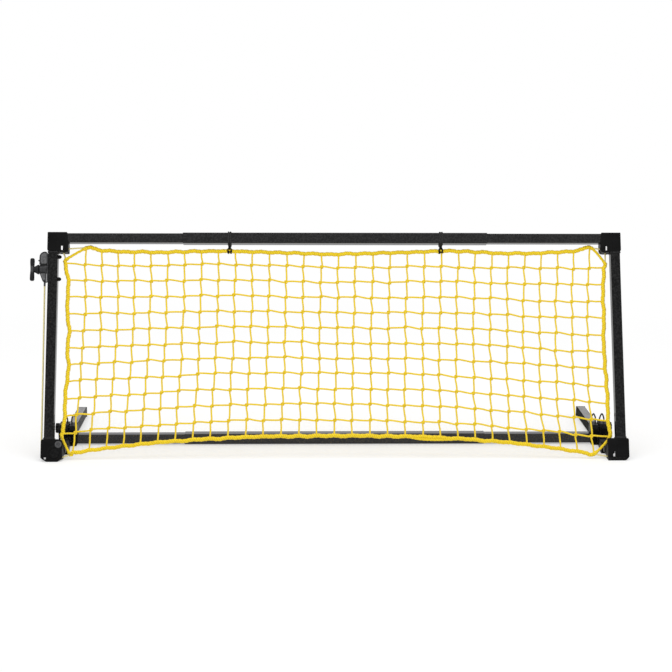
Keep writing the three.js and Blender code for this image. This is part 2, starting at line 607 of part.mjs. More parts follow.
function net() {
  const vectors = (points) => points.map(([x, y]) => new THREE.Vector2(x, y));
  const shape = new THREE.Shape(vectors(netOutline()));
  for (let column = 0; column < NET_COLUMNS; column += 1) {
    for (let row = 0; row < NET_ROWS; row += 1) {
      shape.holes.push(new THREE.Path(vectors(netCell(column, row))));
    }
  }
  const geometry = new THREE.ExtrudeGeometry(shape, { depth: NET_THICKNESS, bevelEnabled: false });
  return geometry.rotateX(Math.PI / 2).translate(0, PLANE + NET_THICKNESS / 2, 0);
}

// The bare cord at a corner: out of the hem, round the roller and back into the hem.
function cornerCord(side, upper) {
  const [alongRow, alongSide] = cutCorner(side, upper);
  const up = upper ? 1 : -1;
  const height = upper ? TOP_ROLLER : LOW_ROLLER;
  const clear = HEM / 2 + CORD / 2 + GAP;
  const at = (x, z) => new THREE.Vector3(x, PLANE, z);
  const bend = Array.from({ length: 5 }, (_, i) => {
    const turn = (Math.PI / 2) * (i / 4);
    const [across, rise] = [WRAP_RADIUS * Math.sin(turn), WRAP_RADIUS * Math.cos(turn)];
    return at(side * (ROLLER_LINE + across), height + up * rise);
  });
  const fromHem = at(alongRow[0] + side * clear, alongRow[1] + up * clear / 2);
  const toHem = at(alongSide[0] + side * clear / 2, alongSide[1] + up * clear);
  return cord([fromHem, ...bend, toHem], CORD, 18);
}

// ---- straps --------------------------------------------------------------------------------------
// A strap round the bar, with a neck that hangs below it.
function strap(line) {
  const inner = SLEEVE / 2 + GAP;
  const outer = inner + STRAP_THICKNESS;
  const across = [line - STRAP_WIDTH / 2, line + STRAP_WIDTH / 2];
  const around = box(across, [PLANE - outer, PLANE + outer], [BAR_HEIGHT - outer, BAR_HEIGHT + outer]);
  const bore = box([across[0] - 1, across[1] + 1], [PLANE - inner, PLANE + inner],
    [BAR_HEIGHT - inner, BAR_HEIGHT + inner]);
  const neck = box([line - NECK_WIDTH / 2, line + NECK_WIDTH / 2],
    [PLANE - STRAP_THICKNESS, PLANE + STRAP_THICKNESS],
    [clipTop() + GAP, BAR_HEIGHT - inner - STRAP_THICKNESS / 2]);
  return join(cut(around, bore), neck);
}

const clipTop = () => topHem(STRAP_LINE) + HEM / 2 + GAP + CLIP_HEIGHT - CLIP_PRONG;

// A clip whose two prongs straddle the hem.
function strapClip(line) {
  const across = [line - CLIP_WIDTH / 2, line + CLIP_WIDTH / 2];
  const body = box(across, [PLANE - CLIP_DEPTH / 2, PLANE + CLIP_DEPTH / 2],
    [clipTop() - CLIP_HEIGHT, clipTop()]);
  const fit = NET_THICKNESS / 2 + GAP;
  return cut(body, box([across[0] - 1, across[1] + 1], [PLANE - fit, PLANE + fit],
    [clipTop() - CLIP_HEIGHT - 1, clipTop() - CLIP_HEIGHT + CLIP_PRONG]));
}

// ---- tensioner, on the outer side of the left post -----------------------------------------------
const LEFT = -1;
const housingBack = PLATE_FACE + GAP;
const housingOut = housingBack + TENSIONER_REACH;

function tensionerPlate() {
  const plate = box(span(LEFT, HALF_WIDTH + GAP, PLATE_FACE),
    [PLANE - PLATE_WIDTH / 2, PLANE + PLATE_WIDTH / 2],
    [TENSIONER_AXIS - TENSIONER_TAIL, BRACKET_FOOT - GAP]);
  return cut(plate, ...BOLT_RISE.map((rise) => rod('x', span(LEFT, HALF_WIDTH, PLATE_FACE + 1),
    [PLANE, TENSIONER_AXIS + rise], BOLT_RADIUS + GAP)));
}

const housingOutline = (wall) => {
  const back = housingBack + (wall ? -1 : 0);
  const out = housingOut - wall;
  const top = TENSIONER_AXIS + TENSIONER_RISE - wall;
  const dome = Array.from({ length: 5 }, (_, i) => {
    const turn = (Math.PI / 2) * (i / 4);
    return [out + TENSIONER_DOME * (Math.cos(turn) - 1), top + TENSIONER_DOME * (Math.sin(turn) - 1)];
  });
  return mirrored(LEFT, [
    [back, TENSIONER_AXIS - TENSIONER_TAIL + wall],
    [CORD_LINE + CORD - wall, TENSIONER_AXIS - TENSIONER_TAIL + wall],
    [out, TENSIONER_AXIS - TENSIONER_BELLY], ...dome, [back, top],
  ]);
};

function tensionerHousing() {
  const half = TENSIONER_DEPTH / 2;
  const shell = slabAlongY(housingOutline(0), [PLANE - half, PLANE + half]);
  const hollow = slabAlongY(housingOutline(TENSIONER_WALL), [PLANE - half + TENSIONER_WALL,
    PLANE + half - TENSIONER_WALL]);
  const collar = rod('x', span(LEFT, housingOut - 1, housingOut + COLLAR_LENGTH), [PLANE, TENSIONER_AXIS],
    STEM_RADII[0] + TENSIONER_WALL);
  return cut(join(shell, collar), hollow,
    rod('x', span(LEFT, housingOut - TENSIONER_WALL - 1, housingOut + COLLAR_LENGTH + 1),
      [PLANE, TENSIONER_AXIS],
      SPOOL_RADIUS + GAP),
    rod('z', [TENSIONER_AXIS - TENSIONER_TAIL - 1, TENSIONER_AXIS], [LEFT * CORD_LINE, PLANE],
      CORD / 2 + GAP),
    box(span(LEFT, housingOut - TENSIONER_WALL - 1, housingOut + 1),
      [PLANE - LEVER_WIDTH / 2 - GAP, PLANE + LEVER_WIDTH / 2 + GAP],
      [leverPivot - LEVER_THICKNESS - 2, leverPivot + LEVER_THICKNESS]),
  );
}

const leverPivot = TENSIONER_AXIS + LEVER_RISE;

// The drum that winds the cord, with the ratchet wheel beside it and a shaft out through the collar.
function tensionerSpool() {
  const at = [PLANE, TENSIONER_AXIS];
  const drum = rod('x', span(LEFT, housingBack + 1, housingOut + STEM_LENGTH / 2), at, SPOOL_RADIUS - GAP);
  const flangeSpan = span(LEFT, housingBack + 1, housingBack + 1 + SPOOL_FLANGE_WIDTH);
  const flange = rod('x', flangeSpan, at, SPOOL_FLANGE);
  const ratchet = rod('x', span(LEFT, housingOut - TENSIONER_WALL - 3, housingOut - TENSIONER_WALL - GAP), at,
    SPOOL_FLANGE, SPOOL_FLANGE, 12);
  return join(drum, flange, ratchet);
}

function tHandle() {
  const start = housingOut + COLLAR_LENGTH + GAP;
  const barAt = start + STEM_LENGTH;
  const half = HANDLE_THICKNESS / 2;
  const stem = rod('x', span(LEFT, start, barAt + 1), [PLANE, TENSIONER_AXIS], ...STEM_RADII);
  const bar = slabAlongX(Array.from({ length: 16 }, (_, i) => {
    const turn = (2 * Math.PI * (i + 0.5)) / 16;
    const end = Math.sign(Math.sin(turn)) * (HANDLE_LENGTH / 2 - half);
    return [PLANE + half * Math.cos(turn), TENSIONER_AXIS + end + half * Math.sin(turn)];
  }), span(LEFT, barAt, barAt + HANDLE_THICKNESS));
  const socket = rod('x', span(LEFT, start - 1, housingOut + STEM_LENGTH / 2 + GAP), [PLANE, TENSIONER_AXIS],
    SPOOL_RADIUS);
  return cut(join(stem, bar), socket);
}

// The lever that lifts the pawl off the ratchet, hinged across the housing's outer wall.
function releaseLever() {
  const out = housingOut - TENSIONER_WALL / 2;
  const half = LEVER_WIDTH / 2;
  const barrel = rod('y', [PLANE - half, PLANE + half], [LEFT * out, leverPivot - 1],
    LEVER_THICKNESS / 2 + 0.5);
  const tab = box(span(LEFT, out - 1, out + LEVER_LENGTH / 3), [PLANE - half, PLANE + half],
    [leverPivot - 1 - LEVER_THICKNESS / 2, leverPivot - 1 + LEVER_THICKNESS / 2]);
  return join(barrel, tab);
}

function tensionerBolt(rise) {
  const at = [PLANE, TENSIONER_AXIS + rise];
  const shank = rod('x', span(LEFT, POST_INNER - NUT_HEIGHT - 1, PLATE_FACE + GAP + 1), at, BOLT_RADIUS);
  return join(shank, rod('x', span(LEFT, PLATE_FACE + GAP, PLATE_FACE + GAP + 2), at, NUT_RADIUS - 1));
}

function tensionerNut(rise) {
  const at = [PLANE, TENSIONER_AXIS + rise];
  const nut = rod('x', span(LEFT, POST_INNER - GAP - NUT_HEIGHT, POST_INNER - GAP), at, NUT_RADIUS,
    NUT_RADIUS, 6);
  return cut(nut, rod('x', span(LEFT, POST_INNER - NUT_HEIGHT - 2, POST_INNER), at, BOLT_RADIUS + GAP));
}

const ferruleTop = TENSIONER_AXIS - TENSIONER_TAIL - GAP;

function cordFerrule() {
  const body = rod('z', [ferruleTop - FERRULE_LENGTH, ferruleTop], [LEFT * CORD_LINE, PLANE], FERRULE_RADIUS);
  return cut(body, rod('z', [ferruleTop - FERRULE_LENGTH - 1, ferruleTop + 1], [LEFT * CORD_LINE, PLANE],
    CORD / 2 + GAP / 2));
}

// The outer run: off the drum, down through the ferrule and into the groove of the lower block.
function cordOuterRun() {
  const at = (z) => new THREE.Vector3(LEFT * CORD_LINE, PLANE, z);
  const top = TENSIONER_AXIS - SPOOL_FLANGE - CORD;
  const bottom = BLOCK_TOP - SOCKET_DEPTH + GAP;
  return cord([at(top), at(ferruleTop), at((top + bottom) / 2), at(BLOCK_TOP + 2), at(bottom)], CORD, 12);
}

// ---- assembly ------------------------------------------------------------------------------------
function groundBase(group) {
  const bar = REAR_LINE;
  add(group, 'rear_bar_sleeve', barSleeve(bar, AXIS_HEIGHT), STEEL);
  for (const [word, side] of SIDES) {
    const barEnd = JOINT_INNER + BAR_SOCKET_DEPTH - GAP;
    add(group, `rear_bar_tube_${word}`, barTube(side, barEnd, bar, AXIS_HEIGHT), STEEL);
    add(group, `rear_bar_button_${word}`, snapButton(side, bar, AXIS_HEIGHT), ZINC);
    add(group, `rear_joint_${word}`, rearJoint(side), MOULDED);
    const railEnds = [RAIL_START + SOCKET_WALL + GAP, JOINT_FRONT + RAIL_SOCKET_DEPTH - GAP];
    const rail = squareTube('y', railEnds, side * SIDE_LINE, AXIS_HEIGHT, TUBE, TUBE_WALL);
    add(group, `side_rail_${word}`, rail, STEEL);
    add(group, `front_foot_${word}`, frontFoot(side), MOULDED);
    add(group, `hinge_pin_${word}`, hingePin(side), ZINC);
    add(group, `leg_${word}`, leg(side), STEEL);
    add(group, `leg_end_cap_${word}`, legEndCap(side), MOULDED);
    add(group, `leg_bolt_${word}`, legBolt(side), ZINC);
    add(group, `clamp_knob_${word}`, clampKnob(side), MOULDED);
    PEG_LINES.forEach((line, i) => {
      add(group, `ground_peg_${word}_${['inner', 'outer'][i]}`, groundPeg(side, line), ZINC);
    });
  }
}

function frontFrame(group) {
  add(group, 'top_bar_sleeve', barSleeve(PLANE, BAR_HEIGHT), STEEL);
  add(group, 'net', net(), NET_YELLOW);
  for (const [word, side] of SIDES) {
    add(group, `post_${word}`, post(side), STEEL);
    const barEnd = LUG_INNER + SOCKET_DEPTH - GAP;
    add(group, `top_bar_tube_${word}`, barTube(side, barEnd, PLANE, BAR_HEIGHT), STEEL);
    add(group, `top_bar_button_${word}`, snapButton(side, PLANE, BAR_HEIGHT), ZINC);
    add(group, `top_bracket_${word}`, topBracket(side), MOULDED);
    add(group, `corner_block_${word}`, cornerBlock(side), MOULDED);
    for (const [level, upper, height] of [['top', true, TOP_ROLLER], ['bottom', false, LOW_ROLLER]]) {
      add(group, `cord_roller_${level}_${word}`, cordRoller(side, height), GREY);
      add(group, `cord_corner_${level}_${word}`, cornerCord(side, upper), CORD_YELLOW);
    }
    add(group, `strap_${word}`, strap(side * STRAP_LINE), WEBBING);
    add(group, `strap_clip_${word}`, strapClip(side * STRAP_LINE), MOULDED);
  }
}

function tensioner(group) {
  add(group, 'tensioner_plate', tensionerPlate(), GREY);
  add(group, 'tensioner_housing', tensionerHousing(), GREY);
  add(group, 'tensioner_spool', tensionerSpool(), ZINC);
  add(group, 'tensioner_handle', tHandle(), GREY);
  add(group, 'release_lever', releaseLever(), GREY);
  BOLT_RISE.forEach((rise, i) => {
    const word = ['upper', 'lower'][i];
    add(group, `tensioner_bolt_${word}`, tensionerBolt(rise), ZINC);
    add(group, `tensioner_nut_${word}`, tensionerNut(rise), ZINC);
  });
  add(group, 'cord_ferrule', cordFerrule(), ZINC);
  add(group, 'cord_outer_run', cordOuterRun(), CORD_YELLOW);
}

const rebounder = new THREE.Group();
const base = new THREE.Group();
const frame = new THREE.Group();
groundBase(base);
frontFrame(frame);
tensioner(frame);
frame.position.z = AXIS_HEIGHT;
frame.rotation.x = -LEAN;
base.add(frame);

// The origin is in the middle of the box round the whole net, on the ground.
base.updateMatrixWorld(true);
const bounds = new THREE.Box3().setFromObject(base, true);
base.position.set(-(bounds.min.x + bounds.max.x) / 2, -(bounds.min.y + bounds.max.y) / 2, -bounds.min.z);
rebounder.add(base);

export default rebounder;
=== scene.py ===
"""Portable rebound net: the finished look of its leaning tube frame, knotted net and cord tensioner."""
import json
import math
import random

import bmesh
import bpy
from mathutils import Matrix, Vector


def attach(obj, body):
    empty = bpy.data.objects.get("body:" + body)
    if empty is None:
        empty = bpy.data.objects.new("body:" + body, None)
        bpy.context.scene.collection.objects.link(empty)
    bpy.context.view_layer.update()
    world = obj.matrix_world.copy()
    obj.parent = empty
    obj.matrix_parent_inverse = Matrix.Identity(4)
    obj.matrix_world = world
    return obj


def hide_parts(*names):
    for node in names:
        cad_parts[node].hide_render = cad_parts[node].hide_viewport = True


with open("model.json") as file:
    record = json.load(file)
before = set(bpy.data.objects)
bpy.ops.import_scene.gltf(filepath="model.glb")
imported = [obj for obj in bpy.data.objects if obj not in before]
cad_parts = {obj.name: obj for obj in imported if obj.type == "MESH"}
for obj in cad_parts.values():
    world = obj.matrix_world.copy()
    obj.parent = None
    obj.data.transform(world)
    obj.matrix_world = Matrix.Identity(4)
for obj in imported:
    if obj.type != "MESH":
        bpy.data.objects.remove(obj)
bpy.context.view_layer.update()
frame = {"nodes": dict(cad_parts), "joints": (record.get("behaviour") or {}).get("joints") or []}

# ---- dimensions in millimetres, in the base's own axes or the front frame's (drawn upright) ----
GAP = 0.3
LEAN = math.radians(20.5)
TUBE = 25.4
TUBE_WALL = 1.5
TUBE_CORNER = 2.4
SLEEVE_WALL = 1.4
SLEEVE_HALF = 406
OVERLAP = 120
SOCKET_WALL = 2.4
SOCKET_DEPTH = 25
HALF_WIDTH = 762
SLANT = 610
AXIS_HEIGHT = 16
SIDE_LINE = 722
REAR_LINE = 120
REAR_END = SIDE_LINE - 6            # where the rear bar's sockets end
BLOCK_HEIGHT = 59
BRACKET_HEIGHT = 58.5
CORD = 4
NET_COLUMNS = 32
NET_ROWS = 12

SLEEVE = TUBE + 2 * (GAP + SLEEVE_WALL)
SHELL = TUBE + 2 * SOCKET_WALL
POST_LINE = HALF_WIDTH - TUBE / 2
POST_INNER = HALF_WIDTH - TUBE
PLANE = -(TUBE / 2 + GAP + SHELL / 2)
BLOCK_FRONT = PLANE - SHELL / 2
BLOCK_BACK = PLANE + SHELL / 2
LUG_INNER = POST_INNER - 23.6


def sole_at(y):
    """Height of the block's sole, 0.5 mm above the ground, at a depth."""
    return (0.5 - AXIS_HEIGHT + y * math.sin(LEAN)) / math.cos(LEAN)


SOLE = sole_at(BLOCK_FRONT)
TOP = SOLE + SLANT
BLOCK_TOP = SOLE + BLOCK_HEIGHT
BAR_HEIGHT = TOP - SOCKET_WALL - TUBE / 2
BRACKET_FOOT = TOP - BRACKET_HEIGHT
ROLLER_LINE = POST_INNER - 17.8
TOP_ROLLER = TOP - 49.4
LOW_ROLLER = SOLE + 17

HINGE = Vector(next(joint for joint in frame["joints"] if joint["name"] == "frame_fold")["pos_m"])
IN_BASE = Matrix.Translation((HINGE.x, HINGE.y, 0)) @ Matrix.Scale(0.001, 4)
IN_FRAME = Matrix.Translation(HINGE) @ Matrix.Rotation(-LEAN, 4, "X") @ Matrix.Scale(0.001, 4)
SIDES = (("left", -1), ("right", 1))

# ---- forms: (points, faces) or (points, faces, UVs of each face) ----
PLACES = {"x": lambda a, b, t: (t, a, b), "y": lambda a, b, t: (a, t, b), "z": lambda a, b, t: (a, b, t)}


def about(middle, half):
    """The two ends of a stretch with that middle."""
    return middle - half, middle + half


def joined(*forms):
    """Several forms as one, each with its own points."""
    points, faces, uvs = [], [], []
    for form in forms:
        start = len(points)
        points += form[0]
        faces += [tuple(start + i for i in face) for face in form[1]]
        uvs += form[2] if len(form) > 2 else [((0, 0),) * len(face) for face in form[1]]
    return points, faces, uvs


def mirrored(form):
    return ([(-x, y, z) for x, y, z in form[0]], *form[1:])


def on_side(side, form):
    """A form drawn for the right, or its mirror image for the left."""
    return form if side > 0 else mirrored(form)


def stack(rings, closed=False):
    """A skin over rings of equal count, with flat ends unless the rings close on themselves."""
    count = len(rings[0])
    points = [point for ring in rings for point in ring]
    faces = []
    for i in range(len(rings) if closed else len(rings) - 1):
        here, there = i * count, (i + 1) % len(rings) * count
        for k in range(count):
            following = (k + 1) % count
            faces.append((here + k, here + following, there + following, there + k))
    if not closed:
        faces += [tuple(range(count))[::-1], tuple(range(len(points) - count, len(points)))]
    return points, faces


def prism(axis, outline, low, high):
    place = PLACES[axis]
    return stack([[place(a, b, t) for a, b in outline] for t in (low, high)])


def box(x, y, z):
    return prism("z", [(x[0], y[0]), (x[1], y[0]), (x[1], y[1]), (x[0], y[1])], *z)


def rounded(outline, radius, steps=5):
    """The outline with an arc of that radius, or one radius for each corner, at its corners."""
    radii = radius if isinstance(radius, (list, tuple)) else [radius] * len(outline)
    points = []
    for i, (corner, size) in enumerate(zip(outline, radii)):
        middle = Vector(corner)
        back = (Vector(outline[i - 1]) - middle).normalized()
        on = (Vector(outline[(i + 1) % len(outline)]) - middle).normalized()
        half = math.acos(max(-1, min(1, back.dot(on)))) / 2
        if size <= 0 or half > 1.55:
            points.append(tuple(middle))
            continue
        centre = middle + (back + on).normalized() * size / math.sin(half)
        start = middle + back * size / math.tan(half) - centre
        end = middle + on * size / math.tan(half) - centre
        turn = start.angle_signed(end)
        for step in range(steps + 1):
            angle = -turn * step / steps
            spoke = Matrix.Rotation(angle, 2) @ start
            points.append(tuple(centre + spoke))
    return points


def rectangle(a, b, radius=0, steps=5):
    corners = [(a[0], b[0]), (a[1], b[0]), (a[1], b[1]), (a[0], b[1])]
    return rounded(corners, radius, steps) if radius else corners


def circle(centre, radius, sides=32, lobes=0, depth=0):
    """A round outline, whose radius may swell and shrink in lobes."""
    def reach(turn):
        return radius + depth * math.cos(lobes * turn)
    turns = [2 * math.pi * i / sides for i in range(sides)]
    return [(centre[0] + reach(t) * math.cos(t), centre[1] + reach(t) * math.sin(t)) for t in turns]


def turned(axis, centre, profile, sides=32, start=0):
    """A turned form: (radius, distance from the start) pairs about an axis, closed at both ends."""
    place = PLACES[axis]
    least = 0.01
    return stack([[place(a, b, start + along) for a, b in circle(centre, max(radius, least), sides)]
                  for radius, along in profile])


def rod(axis, centre, radius, low, high, edge=0.4, sides=32):
    """A round bar with softened ends."""
    return turned(axis, centre, [(radius - edge, low), (radius - edge / 4, low + edge / 4),
                                 (radius, low + edge), (radius, high - edge),
                                 (radius - edge / 4, high - edge / 4), (radius - edge, high)], sides)


def curve(points, step, closed=False):
    """Evenly spaced points on a smooth line through the given ones."""
    knots = [Vector(p) for p in points]
    count = len(knots)
    line = []
    for i in range(count if closed else count - 1):
        if closed:
            a, b, c, d = (knots[(i + k) % count] for k in (-1, 0, 1, 2))
        else:
            a, b, c, d = (knots[max(0, min(count - 1, i + k))] for k in (-1, 0, 1, 2))
        steps = max(1, round((c - b).length / step))
        for k in range(steps):
            t = k / steps
            line.append(0.5 * (2 * b + (c - a) * t + (2 * a - 5 * b + 4 * c - d) * t * t
                               + (3 * b - a - 3 * c + d) * t ** 3))
    return line if closed else [*line, knots[-1]]


def swept(path, radius, sides=8, lobes=0, depth=0.0, pitch=0, closed=False, flat=1.0):
    """A cord along a path. Lobes wind round it once in each pitch, as the strands of a rope do."""
    count = len(path)
    radii = radius if isinstance(radius, list) else [radius] * count
    normal = Vector((0, 1, 0.01))
    rings, along = [], [0.0]
    for i, point in enumerate(path):
        before = path[i - 1] if closed or i else point
        after = path[(i + 1) % count] if closed or i + 1 < count else point
        tangent = (after - before).normalized()
        normal = (normal - tangent * normal.dot(tangent)).normalized()
        across = tangent.cross(normal)
        twist = 2 * math.pi * along[-1] / pitch if pitch else 0
        ring = []
        for k in range(sides):
            turn = 2 * math.pi * k / sides
            reach = radii[i] * (1 + depth * math.cos(lobes * turn))
            away = across * math.cos(turn + twist) + normal * flat * math.sin(turn + twist)
            ring.append(tuple(point + away * reach))
        rings.append(ring)
        along.append(along[-1] + (after - point).length)
    points, faces = stack(rings, closed)
    uvs = []
    for face in range(len(rings) * sides if closed else (len(rings) - 1) * sides):
        i, k = divmod(face, sides)
        low, high = along[i], along[i + 1]
        uvs.append(((k / sides, low), ((k + 1) / sides, low), ((k + 1) / sides, high), (k / sides, high)))
    uvs += [((0, 0),) * len(face) for face in faces[len(uvs):]]
    return points, faces, uvs


def mesh_of(form, name="form"):
    mesh = bpy.data.meshes.new(name)
    mesh.from_pydata(form[0], [], form[1])
    if len(form) > 2:
        layer = mesh.uv_layers.new(name="along")
        layer.data.foreach_set("uv", [n for face in form[2] for pair in face for n in pair])
    work = bmesh.new()
    work.from_mesh(mesh)
    bmesh.ops.recalc_face_normals(work, faces=work.faces)
    work.to_mesh(mesh)
    work.free()
    return mesh


def placed(name, data):
    """A new object in the scene."""
    obj = bpy.data.objects.new(name, data)
    bpy.context.scene.collection.objects.link(obj)
    return obj


def combined(form, tools, operation):
    """A boolean of a form with each of the tools, one after another."""
    objects = [placed("work", mesh_of(part)) for part in (form, *tools)]
    for tool in objects[1:]:
        step = objects[0].modifiers.new("boolean", "BOOLEAN")
        step.operation = operation
        step.solver = "EXACT"
        step.object = tool
    result = objects[0].evaluated_get(bpy.context.evaluated_depsgraph_get()).to_mesh()
    made = [tuple(v.co) for v in result.vertices], [tuple(p.vertices) for p in result.polygons]
    for obj in objects:
        bpy.data.meshes.remove(obj.data)
    return made


def cut(form, *tools):
    return combined(form, tools, "DIFFERENCE")


def fused(form, *tools):
    return combined(form, tools, "UNION")


def common(form, *tools):
    return combined(form, tools, "INTERSECT")


def softened(form, width, steps=2, angle=30):
    """The form with every edge sharper than the angle rounded over."""
    mesh = mesh_of(form)
    work = bmesh.new()
    work.from_mesh(mesh)
    bmesh.ops.remove_doubles(work, verts=work.verts, dist=0.01)
    bmesh.ops.dissolve_limit(work, angle_limit=math.radians(1), verts=work.verts, edges=work.edges)
    sharp = [edge for edge in work.edges
             if len(edge.link_faces) == 2 and edge.calc_face_angle() > math.radians(angle)]
    bmesh.ops.bevel(work, geom=sharp, offset=width, segments=steps, profile=0.5, affect="EDGES",
                    clamp_overlap=True)
    work.to_mesh(mesh)
    work.free()
    made = [tuple(v.co) for v in mesh.vertices], [tuple(p.vertices) for p in mesh.polygons]
    bpy.data.meshes.remove(mesh)
    return made


def piece(name, form, place, body, finish, *nodes, sharp=38):
    """A finished piece that rides on a body, stands for CAD nodes and takes its slot from its finish."""
    mesh = mesh_of(form, name)
    mesh.transform(place)
    mesh.polygons.foreach_set("use_smooth", [True] * len(mesh.polygons))
    mesh.set_sharp_from_angle(angle=math.radians(sharp))
    mesh.materials.append(finish)
    obj = placed(name, mesh)
    if len(form) < 3:
        normals = obj.modifiers.new("even_normals", "WEIGHTED_NORMAL")
        normals.keep_sharp = True
    if nodes:
        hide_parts(*nodes)
    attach(obj, body)
    return obj


# ---- materials, each with the slot it stands for ----
def node(tree, kind, inputs=(), **settings):
    made = tree.nodes.new(kind)
    for key, value in settings.items():
        setattr(made, key, value)
    for key, value in dict(inputs).items():
        if isinstance(value, bpy.types.NodeSocket):
            tree.links.new(value, made.inputs[key])
        else:
            made.inputs[key].default_value = value
    return made


def computed(tree, operation, *values):
    """The result of a Math node."""
    return node(tree, "ShaderNodeMath", enumerate(values), operation=operation).outputs["Value"]


def coordinates(tree, kind="Object"):
    return node(tree, "ShaderNodeTexCoord").outputs[kind]


def blank(name, slot=None):
    """A new material, with its slot named after it unless another is given."""
    material = bpy.data.materials.new(f"{name}_finish")
    material["slot"] = slot or name
    material.use_nodes = True
    tree = material.node_tree
    return material, tree, tree.nodes["Principled BSDF"]


def noise(tree, scale, detail=3.0, stretch=None):
    """Noise over the object's own metres, stretched along an axis where the grain runs."""
    place = coordinates(tree)
    if stretch:
        place = node(tree, "ShaderNodeMapping", {"Vector": place, "Scale": stretch}).outputs["Vector"]
    inputs = {"Vector": place, "Scale": scale, "Detail": detail}
    return node(tree, "ShaderNodeTexNoise", inputs).outputs["Fac"]


def spread(tree, value, low, high, start=0.3, end=0.7):
    """A value between start and end, as a number from low to high."""
    return node(tree, "ShaderNodeMapRange", {"Value": value, "From Min": start, "From Max": end,
                                             "To Min": low, "To Max": high}).outputs["Result"]


def blended(tree, factor, first, second):
    inputs = {"Fac": factor, "Color1": first, "Color2": second}
    return node(tree, "ShaderNodeMixRGB", inputs).outputs["Color"]


def bumped(tree, height, strength, distance):
    inputs = {"Height": height, "Strength": strength, "Distance": distance}
    return node(tree, "ShaderNodeBump", inputs).outputs["Normal"]


def grey(level, tint=0.0):
    return (level, level, level * (1 + tint), 1)


def hard_finish(name, dark, light, worn, gloss, grain, relief, metal=0.0, specular=0.5, stretch=None,
                slot=None):
    """Painted, moulded or plated: mottled colour, uneven gloss, a fine grain and rubbed edges."""
    material, tree, shader = blank(name, slot)
    patches = spread(tree, noise(tree, 35), 0, 1)
    colour = blended(tree, patches, dark, light)
    edges = node(tree, "ShaderNodeNewGeometry").outputs["Pointiness"]
    rubbed = computed(tree, "MULTIPLY", spread(tree, edges, 0, 1, 0.53, 0.62),
                      spread(tree, noise(tree, 220, 4), 0, 0.8, 0.42, 0.62))
    tree.links.new(blended(tree, rubbed, colour, worn), shader.inputs["Base Color"])
    tree.links.new(spread(tree, noise(tree, 90, 4, stretch), *gloss), shader.inputs["Roughness"])
    tree.links.new(bumped(tree, noise(tree, grain, 2, stretch), 0.5, relief), shader.inputs["Normal"])
    shader.inputs["Metallic"].default_value = metal
    shader.inputs["Specular IOR Level"].default_value = specular
    return material


def twine_finish(name, shade, colour, plies, pitch, relief):
    """Twisted yarn: plies that wind round the cord, fibres along them and grooves between, with painted
    shade darkening the grooves.
    """
    material, tree, shader = blank(name)
    place = node(tree, "ShaderNodeSeparateXYZ", {"Vector": coordinates(tree, "UV")})
    along = computed(tree, "MULTIPLY", place.outputs["Y"], 1 / pitch)
    wound = computed(tree, "ADD", place.outputs["X"], along)
    turn = computed(tree, "MULTIPLY", wound, 2 * math.pi * plies)
    # the groove mask sets the bump and also darkens the colour, a painted shade in the grooves; the noise
    # adds random tone
    groove = spread(tree, computed(tree, "SINE", turn), 0, 1, -1, 0.2)
    uneven = spread(tree, noise(tree, 60), 0.75, 1)
    tone_and_shade = computed(tree, "MULTIPLY", groove, uneven)
    tree.links.new(blended(tree, tone_and_shade, shade, colour), shader.inputs["Base Color"])
    fibres = computed(tree, "ADD", groove, noise(tree, 2400, 4))
    tree.links.new(bumped(tree, fibres, 0.6, relief), shader.inputs["Normal"])
    shader.inputs["Roughness"].default_value = 0.78
    shader.inputs["Sheen Weight"].default_value = 0.15
    return material


def webbing_finish(name, dark, light, pitch):
    """Woven strap: ribs across it, crossed by finer warp lines."""
    material, tree, shader = blank(name)
    place = node(tree, "ShaderNodeSeparateXYZ", {"Vector": coordinates(tree)})
    lines = []
    for axis, share in (("Z", 1.0), ("X", 1.6)):
        turn = computed(tree, "MULTIPLY", place.outputs[axis], 2 * math.pi * share / pitch)
        lines.append(computed(tree, "SINE", turn))
    weave = computed(tree, "MULTIPLY", *lines)
    tree.links.new(blended(tree, spread(tree, weave, 0, 1, -1, 1), dark, light), shader.inputs["Base Color"])
    tree.links.new(bumped(tree, weave, 0.5, 0.0003), shader.inputs["Normal"])
    shader.inputs["Roughness"].default_value = 0.85
    return material


STEEL = hard_finish("coated_steel", grey(0.003), grey(0.005, 0.1), grey(0.04), (0.08, 0.16), 1400, 0.00003,
                    specular=0.11)
BLACK = hard_finish("black_plastic", grey(0.003), grey(0.006, 0.05), grey(0.03), (0.32, 0.46), 1800, 0.00005,
                    specular=0.07)
CHARCOAL = hard_finish("grey_plastic", grey(0.045, 0.05), grey(0.075, 0.06), grey(0.16), (0.38, 0.55), 1800,
                       0.00006, specular=0.3)
SATIN = hard_finish("satin_steel", grey(0.002), grey(0.004, 0.1), grey(0.04), (0.05, 0.12), 1400, 0.00002,
                    specular=0.42, slot="coated_steel")
SHEEN = hard_finish("sheen_steel", grey(0.002), grey(0.005, 0.1), grey(0.04), (0.1, 0.2), 1400, 0.00002,
                    specular=0.24, slot="coated_steel")
# a lighter copy of the coated steel, whose colour paints the light that falls on the left leg
PAINTED_LIGHT_STEEL = hard_finish("painted_light_steel", grey(0.03, 0.04), grey(0.05, 0.04), grey(0.1), (0.55, 0.7), 1400, 0.00004,
                    specular=0.1, slot="coated_steel")
MATT = hard_finish("matt_steel", grey(0.003), grey(0.005), grey(0.03), (0.62, 0.74), 1400, 0.00004,
                   specular=0.03, slot="coated_steel")
DARK = hard_finish("dark_grey_plastic", grey(0.007, 0.05), grey(0.014, 0.05), grey(0.06), (0.34, 0.5), 1800,
                   0.00006, specular=0.16, slot="grey_plastic")
LIGHT = hard_finish("light_grey_plastic", grey(0.19, 0.04), grey(0.28, 0.04), grey(0.36), (0.45, 0.6), 1600,
                    0.00008, specular=0.3, slot="grey_plastic")
# a lighter grey that paints the highlight on the hub's cover and the grip's middle
MIDDLE = hard_finish("highlight_grey_plastic", grey(0.024, 0.05), grey(0.04, 0.05), grey(0.1), (0.45, 0.6),
                     1600, 0.00008, specular=0.3, slot="grey_plastic")
